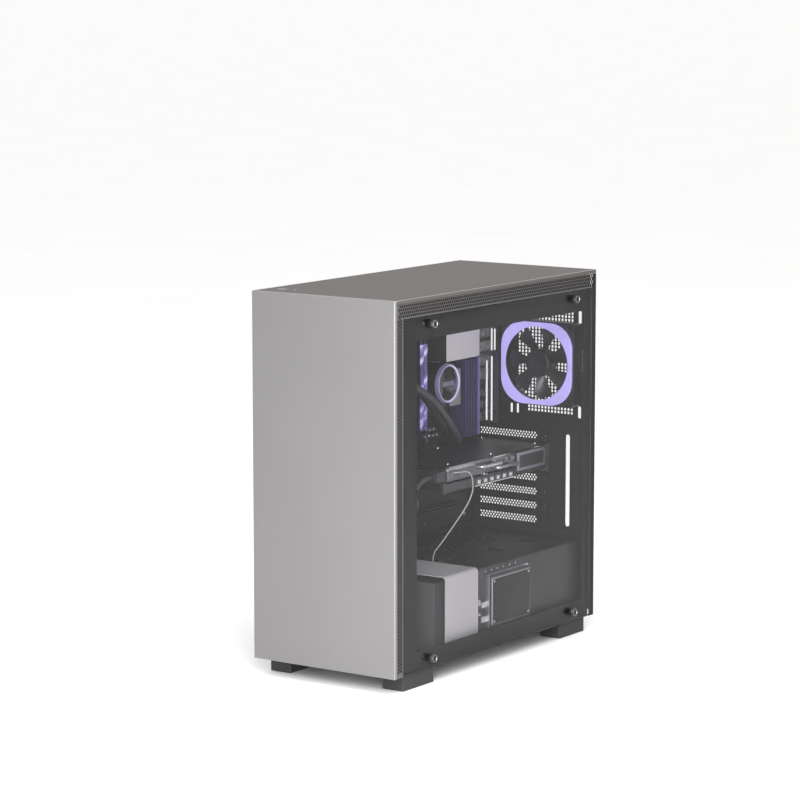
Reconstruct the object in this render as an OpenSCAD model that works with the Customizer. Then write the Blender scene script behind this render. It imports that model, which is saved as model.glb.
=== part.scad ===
// Desktop computer tower with a glass side, drawn in millimetres.
// Origin: centre of the footprint on the floor. +Z up, front faces -Y, glass side faces +X.
// Inside the modules a place is given as x, d and h:
// x from the middle of the case, d back from its front face, h up from the underside of the body.

/* [Case] */
// Width of the body across the side panels
body_w = 230; // [190:1:260]
// Depth of the body, front face to rear edge
body_d = 494; // [440:1:560]
// Height of the body without its feet
body_h = 494; // [440:1:560]
// Height of the feet
foot_h = 22; // [10:1:30]
// Thickness of the folded steel sheet
sheet_t = 1.2; // [0.8:0.1:1.6]
// How far the thumbscrews stand out of the glass
screw_proud = 9; // [6:0.5:14]

/* [Glass side] */
// Thickness of the glass
glass_t = 4; // [3:0.5:5]
// Front edge of the glass, back from the front face
glass_d0 = 21; // [15:1:40]
// Rear edge of the glass, back from the front face
glass_d1 = 482; // [400:1:482]
// Bottom edge of the glass, up from the underside of the body
glass_h0 = 1.6; // [1.5:0.1:10]
// Top edge of the glass, up from the underside of the body
glass_h1 = 469; // [400:1:480]
// Width of the black printed border at the front edge
border_front = 35; // [20:1:50]
// Width of the black printed border at the rear edge
border_rear = 13; // [10:1:40]
// Width of the black printed border at the bottom
border_bottom = 25; // [15:1:40]
// Width of the black printed border at the top
border_top = 31; // [15:1:40]

/* [Perforation] */
// Pitch of the small holes round the glass
frame_pitch = 4.5; // [4:0.5:8]
// Half the diagonal of the small square holes round the glass
frame_hole_r = 2.1; // [1.2:0.1:2.4]
// Sideways pitch of the vent holes behind the rear fan
vent_pitch_x = 5.5; // [5:0.1:8]
// Upright pitch of the vent holes behind the rear fan
vent_pitch_h = 4.9; // [4.5:0.1:8]
// Half the diagonal of the square vent holes
vent_r = 2.5; // [1.2:0.1:2.9]

/* [Fans] */
// Size of a case fan across its square frame
fan_size = 120; // [80:20:140]
// Depth of a case fan
fan_depth = 25; // [15:1:30]
// Spacing of a case fan's screw holes
fan_holes = 105; // [71:1:125]
// Middle of the rear fan, across
rear_fan_x = 37; // [20:1:40]
// Middle of the rear fan, up
rear_fan_h = 358.5; // [340:0.5:380]
// Radial clearance between a fan's pin and its rotor
pin_gap = 0.05; // [0.01:0.01:0.1]

/* [Expansion slots] */
// Spacing of the expansion slots
slot_pitch = 20.32; // [20.32]
// Number of expansion slots
slot_count = 7; // [4:1:8]
// Height of the top slot's middle
slot_top_h = 251.5; // [240:0.5:260]

/* [Hidden] */
$fn = 48;

steel = [0.42, 0.42, 0.43];
satin = [0.66, 0.66, 0.67];
black = [0.07, 0.07, 0.08];
charcoal = [0.16, 0.16, 0.17];
silver = [0.78, 0.77, 0.79];
bright = [0.88, 0.88, 0.9];
glow = [0.72, 0.68, 0.97];

half_w = body_w / 2;
gap = 0.4;             // clearance round a removable panel
skin_d0 = 5.4;         // front edge of the top, the side frame and the side panel
lip_h = 5;             // turned-down edge of the top panel
rear_d = 486;          // outer face of the rear panel
rear_in_d = rear_d - sheet_t;
tray_x = -93;          // left face of the motherboard tray
board_x = -85.3;       // left face of the motherboard
board_top = board_x + 1.6;
board_d0 = 236;
board_d1 = 480;
board_h0 = 121;
board_h1 = 426;
shroud_x = 100;        // glass-side face of the power supply shroud
shroud_h = 109;
shroud_d0 = 221;
shroud_d1 = rear_in_d - gap;
ledge_x = half_w - 9;  // outer face of the ledge behind the glass
window_d0 = glass_d0 + border_front;
window_d1 = glass_d1 - border_rear;
window_h0 = border_bottom + 1;
window_h1 = glass_h1 - border_top;
glass_screw_d = [80, 431.5];
glass_screw_h = [15, 458];
memory_d = [289, 298.5];
pump_d = 347;
pump_h = 337;
pump_face = -34;
pump_r = 28;
gpu_h1 = 242;          // upper face of the graphics card
gpu_h0 = 206;
gpu_d0 = 226;
gpu_x1 = 42;
gpu_fan_r = 43;
gpu_fan_d = [282, 400];
psu_x = [-87, 63];
psu_h = [4, 90];
psu_d = [344, 484.4];
filter_x = [-68, 64];
filter_d0 = 336;
rad_x = [-50, 70];
rad_h = [128, 405];
rad_d = [51.4, 78.4];
bulkhead_d = 24.8;
bulkhead_x = [-half_w + 3, half_w - 10.2];
skin_return_d = glass_d0 - 2.6;
front_fan_x = 10;
front_fan_h = [206, 327];
slot_x = [-80, 30];
side_screw_h = [60, 434];
stud_x = [-95, 85];
stud_h = [30, 250, 465];
board_fixings = [
    for (d = [board_d0 + 8, 358, board_d1 - 22], h = [board_h0 + 10, 273.5, board_h1 - 10]) [d, h]
];

// Middle lines of the hoses and cables, as [x, d, h]
supply_route = [
    [-56, 343, 306], [-56, 343, 294], [-50, 341, 282], [-38, 334, 273], [-24, 320, 270],
    [-12, 302, 276], [-4, 283, 289], [1, 263, 306], [4, 241, 325], [5, 216, 344],
    [5, 188, 360], [4, 158, 371], [2, 128, 377], [0, 104, 380], [0, 90, 380]
];
return_route = [
    [-56, 362, 306], [-56, 362, 295], [-48, 360, 281], [-34, 354, 268], [-17, 341, 261],
    [-2, 322, 263], [9, 300, 273], [17, 277, 289], [22, 252, 308], [25, 225, 328],
    [27, 195, 346], [27, 163, 360], [27, 130, 371], [26, 105, 378], [26, 90, 380]
];
plug_route = [
    [30, 204, 229], [30, 197, 229], [29, 186, 226], [26, 176, 217], [20, 171, 204],
    [10, 171, 188], [-3, 174, 172], [-16, 181, 156], [-25, 192, 141], [-28, 206, 128],
    [-28, 220, 119], [-28, 230, 112], [-28, 235, 105]
];
indicator_route = [
    [38, 252, 231], [44, 257.5, 231], [46, 266, 231], [47, 274, 229], [48, 280, 223],
    [48, 283, 215], [47, 285, 208], [46, 285.5, 201], [44, 284, 193], [42, 281, 185],
    [39, 274, 174.5], [36, 265, 164], [32.5, 254, 152], [29, 243, 140], [25.5, 235.5, 131],
    [22, 229.5, 123], [20, 228, 115], [20, 228.5, 104]
];

// Places in the model from distances on the case
function fy(d) = d - body_d / 2;
function fz(h) = h + foot_h;
function route_point(p) = [p[0], fy(p[1]), fz(p[2])];
function mid(a) = (a[0] + a[1]) / 2;
function unit(v) = v / norm(v);

// The thumbscrews stand out on one side, so the case sits off the middle of its own box
module in_case() {
    translate([-screw_proud / 2, 0, 0]) children();
}

// Box between pairs of limits along x, d and h
module box(x, d, h) {
    translate([x[0], fy(d[0]), fz(h[0])]) cube([x[1] - x[0], d[1] - d[0], h[1] - h[0]]);
}

// Flat sheets from an outline: drawn in (d, h), (x, h) or (x, d)
module sheet_x(x0, x1) {
    translate([x0, fy(0), fz(0)]) rotate([90, 0, 90]) linear_extrude(x1 - x0) children();
}

module sheet_d(d0, d1) {
    translate([0, fy(d1), fz(0)]) rotate([90, 0, 0]) linear_extrude(d1 - d0) children();
}

module sheet_h(h0, h1) {
    translate([0, fy(0), fz(h0)]) linear_extrude(h1 - h0) children();
}

// Round bars along each direction
module rod_x(x, d, h, r) {
    translate([x[0], fy(d), fz(h)]) rotate([0, 90, 0]) cylinder(h = x[1] - x[0], r = r);
}

module rod_d(x, d, h, r) {
    translate([x, fy(d[1]), fz(h)]) rotate([90, 0, 0]) cylinder(h = d[1] - d[0], r = r);
}

module rod_h(x, d, h, r) {
    translate([x, fy(d), fz(h[0])]) cylinder(h = h[1] - h[0], r = r);
}

// Flat rectangle between two pairs of limits
module rect(a, b) {
    translate([a[0], b[0]]) square([a[1] - a[0], b[1] - b[0]]);
}

// The same with corners rounded in short straight steps
module round_rect(a, b, r, steps = 5) {
    corners = [[a[1] - r, b[1] - r, 0], [a[0] + r, b[1] - r, 90],
               [a[0] + r, b[0] + r, 180], [a[1] - r, b[0] + r, 270]];
    polygon([for (c = corners, i = [0:steps])
        [c[0] + r * cos(c[2] + 90 * i / steps), c[1] + r * sin(c[2] + 90 * i / steps)]]);
}

// Rows and columns of small four-sided holes
module hole_grid(origin, columns, rows, pitch_a, pitch_b, r, stagger = 0, tall = 1) {
    for (i = [0:columns - 1], j = [0:rows - 1])
        translate([origin[0] + i * pitch_a + (j % 2) * stagger, origin[1] + j * pitch_b])
            scale([1, tall]) rotate(45) circle(r = r, $fn = 4);
}

// Four points of a square pattern round a middle
module at_corners(a, b, spacing) {
    for (i = [-1, 1], j = [-1, 1])
        translate([a + i * spacing / 2, b + j * spacing / 2]) children();
}

// A hose or cable: one closed skin of rings along a route
module swept_tube(route, r, sides) {
    pts = [for (p = route) route_point(p)];
    last = len(pts) - 1;
    rings = [for (i = [0:last])
        let (along = unit(pts[min(i + 1, last)] - pts[max(i - 1, 0)]),
             side = unit(cross(along, [0.3, 0.2, 1])),
             up = cross(side, along))
        for (k = [0:sides - 1])
            pts[i] + r * (cos(360 * k / sides) * side + sin(360 * k / sides) * up)];
    walls = [for (i = [0:last - 1], k = [0:sides - 1])
        let (a = i * sides + k, b = i * sides + (k + 1) % sides, c = b + sides, e = a + sides)
            each [[a, b, c], [a, c, e]]];
    polyhedron(points = rings, convexity = 6,
        faces = concat(walls, [[for (k = [sides - 1:-1:0]) k],
                               [for (k = [0:sides - 1]) last * sides + k]]));
}

// ---------------------------------------------------------------- case shell

module base_pan() color(steel) in_case() {
    sheet_h(0, sheet_t) difference() {
        rect([-half_w + 1.6, half_w - 1.6], [8, rear_d]);
        hole_grid([mid(psu_x) - 48, mid(psu_d) - 48], 9, 9, 12, 12, 5);
    }
    // side flanges
    for (x = [-half_w + 1.6, half_w - 5.8])
        box([x, x + sheet_t], [8, rear_in_d], [sheet_t, 7]);
    // rails that hold the dust filter
    for (s = [-1, 1]) {
        rail_x = mid(filter_x) + s * (filter_x[1] - filter_x[0] + 4) / 2;
        box([rail_x - 0.6, rail_x + 0.6], [filter_d0 + 4, rear_in_d], [-6.4, 0]);
        box([rail_x - 0.6 - (s + 1) * 1.4, rail_x + 0.6 + (1 - s) * 1.4],
            [filter_d0 + 4, rear_in_d], [-6.4, -5.2]);
    }
}

module rear_openings() {
    // board connectors
    rect([-86.2, -41.7], [264.5, 423.5]);
    // expansion slots
    for (i = [0:slot_count - 1]) {
        h = slot_top_h - i * slot_pitch;
        rect(slot_x, [h - 6.2, h + 6.2]);
        translate([slot_x[1] + 9, h]) circle(r = 1.7, $fn = 24);
    }
    // fan screws and the vent round them
    at_corners(rear_fan_x, rear_fan_h, fan_holes) circle(r = 2.2);
    difference() {
        hole_grid([-6, 288], 17, 30, vent_pitch_x, vent_pitch_h, vent_r);
        at_corners(rear_fan_x, rear_fan_h, fan_holes) square(10, center = true);
        // solid land round the two short slots
        rect([-12, 8], [284, 300]);
    }
    // upright slots
    round_rect([92, 97.4], [416.5, 435], 2.4, 3);
    round_rect([92.2, 97.6], [281.5, 299], 2.4, 3);
    round_rect([-21, -17], [281, 295], 1.9, 3);
    round_rect([-10.6, -6.6], [281, 295], 1.9, 3);
    round_rect([72.5, 79.5], [124.5, 257], 3.4, 6);
    hole_grid([100, 351], 1, 6, 5, 5.3, 1.7);
    // side panel thumbscrews
    for (h = side_screw_h) translate([-half_w + 9, h]) circle(r = 2.3);
    // power supply
    rect([psu_x[0] + 4, psu_x[1] - 4], [psu_h[0] + 4, psu_h[1] - 4]);
    for (p = psu_screw_places()) translate(p) circle(r = 2.2);
}

// Standard screw places on the back of the power supply
function psu_screw_places() = [
    [psu_x[0] + 6, psu_h[0] + 16], [psu_x[0] + 6, psu_h[0] + 80],
    [psu_x[0] + 144, psu_h[0] + 6], [psu_x[0] + 120, psu_h[0] + 80]
];

module rear_panel() color(steel) in_case() {
    sheet_d(rear_in_d, rear_d) difference() {
        rect([-half_w + 1.6, half_w - 5], [sheet_t, 487]);
        difference() {
            rear_openings();
            // solid rim for the outer screw places of the power supply
            for (p = psu_screw_places()) translate(p) difference() {
                circle(r = 5, $fn = 24);
                circle(r = 2.2);
            }
        }
    }
}

module motherboard_tray() color(steel) in_case() {
    sheet_x(tray_x, tray_x + sheet_t) difference() {
        rect([82, rear_in_d], [sheet_t, 487]);
        // opening behind the processor
        round_rect([287, 407], [285, 390], 6);
        // cable openings in front of the board
        for (h = [140, 230, 320, 400]) round_rect([196, 222], [h, h + 56], 6);
        for (d = [250, 330, 410]) round_rect([d, d + 45], [434, 456], 6);
    }
    // pressed bumps that carry the board
    for (p = board_fixings) rod_x([tray_x + sheet_t, board_x], p[0], p[1], 4);
}

// Welded frame: bulkhead behind the front panel and ledge behind the glass
module inner_frame() color(charcoal) in_case() {
    sheet_d(bulkhead_d, bulkhead_d + sheet_t) difference() {
        rect(bulkhead_x, [sheet_t, 487]);
        for (h = front_fan_h) {
            translate([front_fan_x, h]) circle(r = 57);
            at_corners(front_fan_x, h, fan_holes) circle(r = 2.2);
        }
        // holes for the studs of the front panel
        for (x = stud_x, h = stud_h) translate([x, h]) circle(r = 4.4);
    }
    // fold along the left edge
    box([bulkhead_x[0], bulkhead_x[0] + sheet_t], [8, bulkhead_d], [9.4, 487]);
    // ledge, drawn round the window
    sheet_x(ledge_x - sheet_t, ledge_x) difference() {
        rect([skin_return_d, rear_in_d], [9.4, 487]);
        rect([window_d0 - 4, window_d1 + 7.5], [window_h0 - 3, window_h1 + 4]);
        for (d = glass_screw_d, h = glass_screw_h) translate([d, h]) circle(r = 4);
    }
    // returns that carry the outer skin
    returns = [[skin_return_d, skin_return_d + sheet_t], [glass_d1 + 1.4, glass_d1 + 2.6]];
    for (d = returns) box([ledge_x, half_w - sheet_t], d, [9.4, glass_h1 + 2]);
    box([ledge_x, half_w - sheet_t], [returns[0][0], returns[1][1]],
        [glass_h1 + 2, glass_h1 + 2 + sheet_t]);
    // threaded posts for the thumbscrews
    for (d = glass_screw_d, h = glass_screw_h) difference() {
        rod_x([ledge_x - 5, half_w - glass_t - 0.8], d, h, 4.5);
        rod_x([ledge_x - 7, half_w], d, h, 2.3);
    }
}

// Perforated outer skin round the glass
module side_frame() color(steel) in_case() {
    front_gap = 1.6;
    sheet_x(half_w - sheet_t, half_w) difference() {
        rect([skin_d0, body_d], [0, body_h - lip_h - gap]);
        rect([glass_d0 - front_gap, glass_d1 + gap], [-1, glass_h1 + gap]);
        hole_grid([10, 473], 106, 4, frame_pitch, 4.3, frame_hole_r, frame_pitch / 2, 1.18);
        hole_grid([8.5, 8], 2, 103, 7, frame_pitch, frame_hole_r);
        hole_grid([12, 8 + frame_pitch / 2], 1, 103, 7, frame_pitch, frame_hole_r);
    }
}

module top_panel() color(satin) in_case() {
    sheet_h(body_h - 1.6, body_h) difference() {
        rect([-half_w, half_w], [skin_d0, body_d]);
        translate([-92, 37]) circle(r = 6.4);
        translate([-71, 37]) circle(r = 2.3);
    }
    for (s = [-1, 1]) {
        edge = s * (half_w - 0.8);
        box([edge - 0.8, edge + 0.8], [skin_d0, body_d], [body_h - lip_h, body_h - 1.6]);
    }
    box([-half_w + 1.6, half_w - 1.6], [body_d - 1.6, body_d], [body_h - lip_h, body_h - 1.6]);
}

// Left-hand steel panel with a rear lip for two captive thumbscrews
module side_panel() color(steel) in_case() {
    box([-half_w, -half_w + sheet_t], [skin_d0, 487.9], [0.6, body_h - lip_h - gap]);
    difference() {
        box([-half_w + sheet_t, -half_w + 17], [rear_d + 0.6, rear_d + 0.6 + sheet_t],
            [0.6, body_h - lip_h - gap]);
        for (h = side_screw_h) rod_d(-half_w + 9, [rear_d, rear_d + 4], h, 2.4);
    }
    // hooks that grip the edge of the base and of the top
    for (d = [120, 280, 440], h = [30, 440])
        box([-half_w + sheet_t, -half_w + sheet_t + 5], [d, d + 14], [h, h + 1.2]);
}

module side_panel_screws() color(black) in_case() {
    for (h = side_screw_h) {
        head = rear_d + 0.6 + sheet_t + 0.3;
        difference() {
            rod_d(-half_w + 9, [head, body_d - 0.4], h, 5);
            for (a = [0:20:340])
                translate([-half_w + 9 + 5.2 * cos(a), fy(body_d), fz(h) + 5.2 * sin(a)])
                    rotate([90, 0, 0]) cylinder(h = 10, r = 0.45, $fn = 6);
        }
        rod_d(-half_w + 9, [rear_d - 6, head], h, 1.9);
    }
}

module front_panel() color(satin) in_case() {
    wrap = skin_d0 - gap;
    sheet_h(0, body_h) difference() {
        polygon([
            [-half_w, wrap], [-half_w, 1.2], [-half_w + 1.2, 0],
            [half_w - 1.2, 0], [half_w, 1.2], [half_w, wrap]
        ]);
        rect([-half_w + 1.6, half_w - 1.6], [1.6, wrap + 1]);
    }
    for (h = [0, body_h - 1.6]) box([-half_w + 1.6, half_w - 1.6], [1.6, wrap], [h, h + 1.6]);
    // ball studs that snap into the bulkhead
    for (x = stud_x, h = stud_h) {
        rod_d(x, [1.6, bulkhead_d + 4], h, 3);
        rod_d(x, [1.6, 12], h, 6);
    }
}

// ---------------------------------------------------------------- glass side

module glass_panel() color([0.35, 0.36, 0.38, 0.35]) in_case() difference() {
    box([half_w - glass_t, half_w], [glass_d0, glass_d1], [glass_h0, glass_h1]);
    for (d = glass_screw_d, h = glass_screw_h)
        rod_x([half_w - glass_t - 1, half_w + 1], d, h, 3);
}

// Black print on the inside of the glass
module glass_border() color(black) in_case() {
    print_t = 0.3;
    sheet_x(half_w - glass_t - print_t, half_w - glass_t) difference() {
        rect([glass_d0, glass_d1], [glass_h0, glass_h1]);
        rect([window_d0, window_d1], [window_h0, window_h1]);
        for (d = glass_screw_d, h = glass_screw_h) translate([d, h]) circle(r = 3.4);
    }
}

// Knurled black body, bright end face with a cross recess, plain shank
module thumbscrew(d, h) in_case() {
    head_r = 5.3;
    seat = half_w + 0.3;
    face = half_w + screw_proud;
    cap_t = 4.5;
    color(black) difference() {
        union() {
            rod_x([seat, face - cap_t], d, h, head_r);
            rod_x([half_w - glass_t - 8, seat], d, h, 2);
        }
        for (a = [0:20:340])
            translate([seat + 0.8, fy(d) + head_r * cos(a), fz(h) + head_r * sin(a)])
                rotate([0, 90, 0]) cylinder(h = 20, r = 0.5, $fn = 6);
    }
    color(bright) difference() {
        rod_x([face - cap_t, face], d, h, head_r - 0.1);
        rod_x([face - 0.6, face + 1], d, h, head_r - 1.1);
        for (a = [45, 135])
            translate([face - 0.6, fy(d), fz(h)]) rotate([a, 0, 0]) cube([2.4, 6, 1], center = true);
    }
}

module thumbscrew_front_lower() thumbscrew(glass_screw_d[0], glass_screw_h[0]);
module thumbscrew_front_upper() thumbscrew(glass_screw_d[0], glass_screw_h[1]);
module thumbscrew_rear_lower() thumbscrew(glass_screw_d[1], glass_screw_h[0]);
module thumbscrew_rear_upper() thumbscrew(glass_screw_d[1], glass_screw_h[1]);

// ---------------------------------------------------------------- underside

module feet() color(charcoal) in_case() {
    for (x = [[-109, -75], [75, 109]], d = [[28, 100], [414, 480]])
        sheet_h(-foot_h, -0.02) round_rect(x, d, 3, 3);
}

// Slide-out dust filter under the power supply, with its pull
module dust_filter() color(black) in_case() {
    sheet_h(-4.6, -2.2) difference() {
        round_rect(filter_x, [filter_d0, 491], 4, 3);
        hole_grid([-57, 348], 11, 12, 11, 11, 5);
    }
    box([-16, 12], [488.5, 491], [-9, -4.6]);
}

// ---------------------------------------------------------------- lower chamber

module psu_shroud() color(charcoal) in_case() {
    inner_x = tray_x + sheet_t + gap;
    sheet_h(shroud_h - sheet_t, shroud_h) difference() {
        rect([inner_x, shroud_x], [shroud_d0, shroud_d1]);
        // cable openings
        rect([28, 58], [250, 262]);
        rect([28, 58], [340, 352]);
        rect([30, 60], [420, 432]);
        rect([-40, 26], [shroud_d0 + 3, shroud_d0 + 18]);
        hole_grid([-76, 300], 6, 10, 14, 14, 4);
    }
    box([shroud_x - sheet_t, shroud_x], [shroud_d0, shroud_d1], [sheet_t, shroud_h - sheet_t]);
}

// Pale cover over the front of the chamber, its top edge rounded into its side
module shroud_front_cover() color(silver) in_case() {
    x0 = tray_x + sheet_t + gap;
    bend_r = 6;
    arc = [for (i = [0:6]) [cos(90 - 15 * i), sin(90 - 15 * i)]];
    outer = [for (p = arc) [shroud_x - bend_r, 111 - bend_r] + bend_r * p];
    inner = [for (i = [6:-1:0])
        [shroud_x - bend_r, 111 - bend_r] + (bend_r - 1.6) * arc[i]];
    sheet_d(140, 219) polygon(concat(
        [[x0, 111]], outer, [[shroud_x, sheet_t]], [[shroud_x - 1.6, sheet_t]], inner,
        [[x0, 109.4]]));
}

module ssd_bracket() color(bright) in_case() {
    back = [shroud_x + 0.02, shroud_x + 0.9];
    sheet_x(back[0], back[1]) rect([238, 343], [24, 98]);
    box([back[0], shroud_x + 6], [236.6, 238], [24, 98]);
    for (h = [34, 54]) box([back[0], shroud_x + 2.5], [224, 236.6], [h, h + 8]);
}

module ssd() color(charcoal) in_case() {
    sheet_x(shroud_x + 0.92, shroud_x + 7.9) round_rect([239, 339.2], [26, 95.9], 2, 3);
}

module drive_cage() color([0.3, 0.3, 0.31]) in_case() {
    x = [-34, 76];
    d = [150, 216];
    h = [4, 98];
    for (e = [x[0], x[1] - sheet_t]) box([e, e + sheet_t], d, h);
    for (e = [h[0], 50, h[1] - sheet_t]) box([x[0] + sheet_t, x[1] - sheet_t], d, [e, e + sheet_t]);
    box([30, x[1]], [d[0] - sheet_t, d[0]], h);
}

// ---------------------------------------------------------------- rear fittings

module slot_covers() color(steel) in_case() {
    free_slots = [0, 3, 4, 5, 6];
    for (i = free_slots) {
        h = slot_top_h - i * slot_pitch;
        sheet_d(rear_in_d - 0.9, rear_in_d - 0.02) difference() {
            rect([slot_x[0] - 4, slot_x[1] + 14], [h - 9.2, h + 9.2]);
            hole_grid([-70, h - 3.4], 20, 3, 4.8, 3.4, 1.8, 2.4);
            translate([slot_x[1] + 9, h]) circle(r = 1.7, $fn = 24);
        }
    }
}

// Pan-head screws that hold the slots, the fans, the power supply and the board
module pan_screw_d(x, d, h, length) {
    rod_d(x, [d, d + 1.8], h, 3);
    rod_d(x, [d - length, d], h, 1.5);
}

module machine_screws() color(bright) in_case() {
    for (i = [0:slot_count - 1])
        pan_screw_d(slot_x[1] + 9, rear_d + 0.02, slot_top_h - i * slot_pitch, 2.6);
    at_corners_3d(rear_fan_x, rear_fan_h, fan_holes) pan_screw_d(0, rear_d + 0.02, 0, 7);
    for (p = psu_screw_places()) pan_screw_d(p[0], rear_d + 0.02, p[1], 4);
    for (p = board_fixings) rod_x([board_top + 0.02, board_top + 1.6], p[0], p[1], 2.8);
}

// The corner pattern for things drawn from x = 0 and h = 0
module at_corners_3d(x, h, spacing) {
    for (i = [-1, 1], j = [-1, 1])
        translate([x + i * spacing / 2, 0, h + j * spacing / 2]) children();
}

module io_shield() color(bright) in_case() {
    sheet_d(rear_in_d - 0.2, rear_in_d + 0.6) difference() {
        rect([-86, -41.9], [264.7, 423.3]);
        for (h = port_rows()) rect([-84, -64.1], [h, h + 15]);
        for (h = jack_rows()) translate([-72, h]) circle(r = 3.6, $fn = 24);
        // upright slits beside the connectors
        round_rect([-63.2, -60.2], [266, 353], 1.4, 3);
        round_rect([-54.7, -51.7], [266, 360], 1.4, 3);
        round_rect([-54.9, -52.1], [368, 400], 1.3, 3);
        round_rect([-49.7, -46.9], [369, 400], 1.3, 3);
    }
}

function port_rows() = [326, 346, 366, 386, 405];
function jack_rows() = [273, 290, 307];

// Metal connector shells along the rear edge of the board
module io_ports() color(bright) in_case() {
    for (h = port_rows()) difference() {
        box([board_top + 0.02, -64.4], [463, 488], [h + 0.3, h + 14.7]);
        box([-81.5, -74.5], [480, 489], [h + 2, h + 13]);
        box([-72.5, -66], [480, 489], [h + 2, h + 13]);
    }
    for (h = jack_rows()) difference() {
        union() {
            box([board_top + 0.02, -66], [463, 483], [h - 5, h + 5]);
            rod_d(-72, [482, 487], h, 3.3);
        }
        rod_d(-72, [474, 488], h, 1.8);
    }
}

// ---------------------------------------------------------------- top controls

module power_button() color(satin) in_case() {
    rod_h(-92, 37, [body_h - 5, body_h + 0], 6.1);
    rod_h(-92, 37, [body_h - 8, body_h - 5], 7.2);
}

module reset_button() color(black) in_case() {
    rod_h(-71, 37, [body_h - 4, body_h - 0.2], 2);
    rod_h(-71, 37, [body_h - 6, body_h - 4], 2.9);
}

// ---------------------------------------------------------------- board

module motherboard() color([0.09, 0.09, 0.1]) in_case() {
    sheet_x(board_x, board_top) rect([board_d0, board_d1], [board_h0, board_h1]);
}

module board_slots() color(black) in_case() {
    // memory sockets
    for (i = [0:3]) difference() {
        d = 279.5 + i * 9.5;
        box([board_top + 0.02, board_top + 6], [d - 3, d + 3], [270, 408]);
        box([board_top + 2, board_top + 7], [d - 1, d + 1], [273, 405]);
    }
    // card slots below the graphics card, and the one it sits in
    for (h = [gpu_h1 - 3.2, slot_top_h - 3 * slot_pitch, slot_top_h - 5 * slot_pitch])
        difference() {
            box([board_top + 0.02, board_top + 8], [340, 430], [h - 3.4, h + 3.4]);
            box([board_top + 2, board_top + 9], [341, 429], [h - 1, h + 1]);
        }
    // supply and data sockets along the front edge
    box([board_top + 0.02, board_top + 10], [238, 248], [330, 382]);
    for (h = [190, 206, 222]) box([board_top + 0.02, board_top + 8], [238, 252], [h, h + 12]);
    // power stage above the processor
    box([board_top + 0.02, board_top + 20], [318, 352], [398, 424]);
}

module vrm_heatsink() color([0.3, 0.29, 0.4]) in_case() {
    fins = 6;
    pitch = 6.6;
    d0 = 418.5;
    sheet_h(250, 361) union() {
        rect([board_top + 0.5, board_top + 8], [d0, d0 + 36.5]);
        for (i = [0:fins - 1])
            rect([board_top + 7, board_top + 30], [d0 + i * pitch, d0 + i * pitch + 3.5]);
    }
}

// Flat pale cover over the power stages and the rear connectors
module io_cover() color(silver) in_case() {
    corner_r = 3;
    corner = [438.8, 365.6];
    arc = [for (a = [0:30:90]) corner + corner_r * [sin(a) - 1, 1 - cos(a)]];
    sheet_x(board_top + 0.5, -44)
        polygon(concat([[354.5, 409], [354.5, corner[1]]], arc, [[corner[0], 409]]));
}

module memory_sticks() color(charcoal) in_case() {
    for (d = memory_d) {
        box([board_top + 2.4, board_top + 8], [d - 0.7, d + 0.7], [274, 404]);
        box([board_top + 8, -42], [d - 3.4, d + 3.4], [272.5, 405.5]);
    }
}

module memory_light_bars() color(glow) in_case() {
    for (d = memory_d) sheet_h(277, 397) polygon([
        [-42, d - 3.4], [-40, d - 2.6], [-39, d - 1.2], [-39, d + 1.2],
        [-40, d + 2.6], [-42, d + 3.4]
    ]);
}

// ---------------------------------------------------------------- cooler

module pump_housing() color(black) in_case() {
    rod_x([board_top + 3, board_top + 12], pump_d, pump_h, 27);
    rod_x([board_top + 12, pump_face - 6], pump_d, pump_h, pump_r);
    rod_x([pump_face - 6, pump_face - 2.2], pump_d, pump_h, pump_r - 3.6);
    // hose stubs
    for (d = [343, 362]) rod_h(-56, d, [306, 320], 4.5);
}

module pump_light_ring() color(glow) in_case() {
    translate([pump_face - 6, fy(pump_d), fz(pump_h)]) rotate([0, 90, 0])
        rotate_extrude() polygon([
            [pump_r - 3.4, 0.02], [pump_r, 0.02], [pump_r, 3], [pump_r - 1.4, 6.3], [pump_r - 3.4, 6.3]
        ]);
}

module coolant_tube_supply() color(black) in_case() swept_tube(supply_route, 5.5, 12);
module coolant_tube_return() color(black) in_case() swept_tube(return_route, 5.5, 12);

module radiator() color(charcoal) in_case() {
    box(rad_x, rad_d, [rad_h[0], rad_h[0] + 16]);
    box([rad_x[0] + 4, rad_x[1] - 4], [rad_d[0] + 3, rad_d[1] - 3], [rad_h[0] + 16, rad_h[1] - 34]);
    for (x = [rad_x[0], rad_x[1] - 4]) box([x, x + 4], rad_d, [rad_h[0] + 16, rad_h[1] - 34]);
    box(rad_x, rad_d, [rad_h[1] - 34, rad_h[1]]);
    for (x = [0, 26]) rod_d(x, [rad_d[1], 90], 380, 4.5);
}

// ---------------------------------------------------------------- case fans

// Outline of a square fan frame with its round duct
module fan_outline(duct_r) {
    difference() {
        round_rect([-fan_size / 2, fan_size / 2], [-fan_size / 2, fan_size / 2], 7);
        circle(r = duct_r);
        at_corners(0, 0, fan_holes) circle(r = 2.2);
    }
}

// Frame with its motor seat, arms and pin; drawn from z = 0, air flowing towards z = 0
module fan_frame(depth, duct_r, hub_r, pin_h) {
    linear_extrude(depth) fan_outline(duct_r);
    linear_extrude(3) {
        circle(r = hub_r);
        for (a = [35:90:305]) rotate(a) rect([hub_r - 2, duct_r + 2], [-2.5, 2.5]);
    }
    cylinder(h = pin_h, r = 1.5);
}

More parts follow.
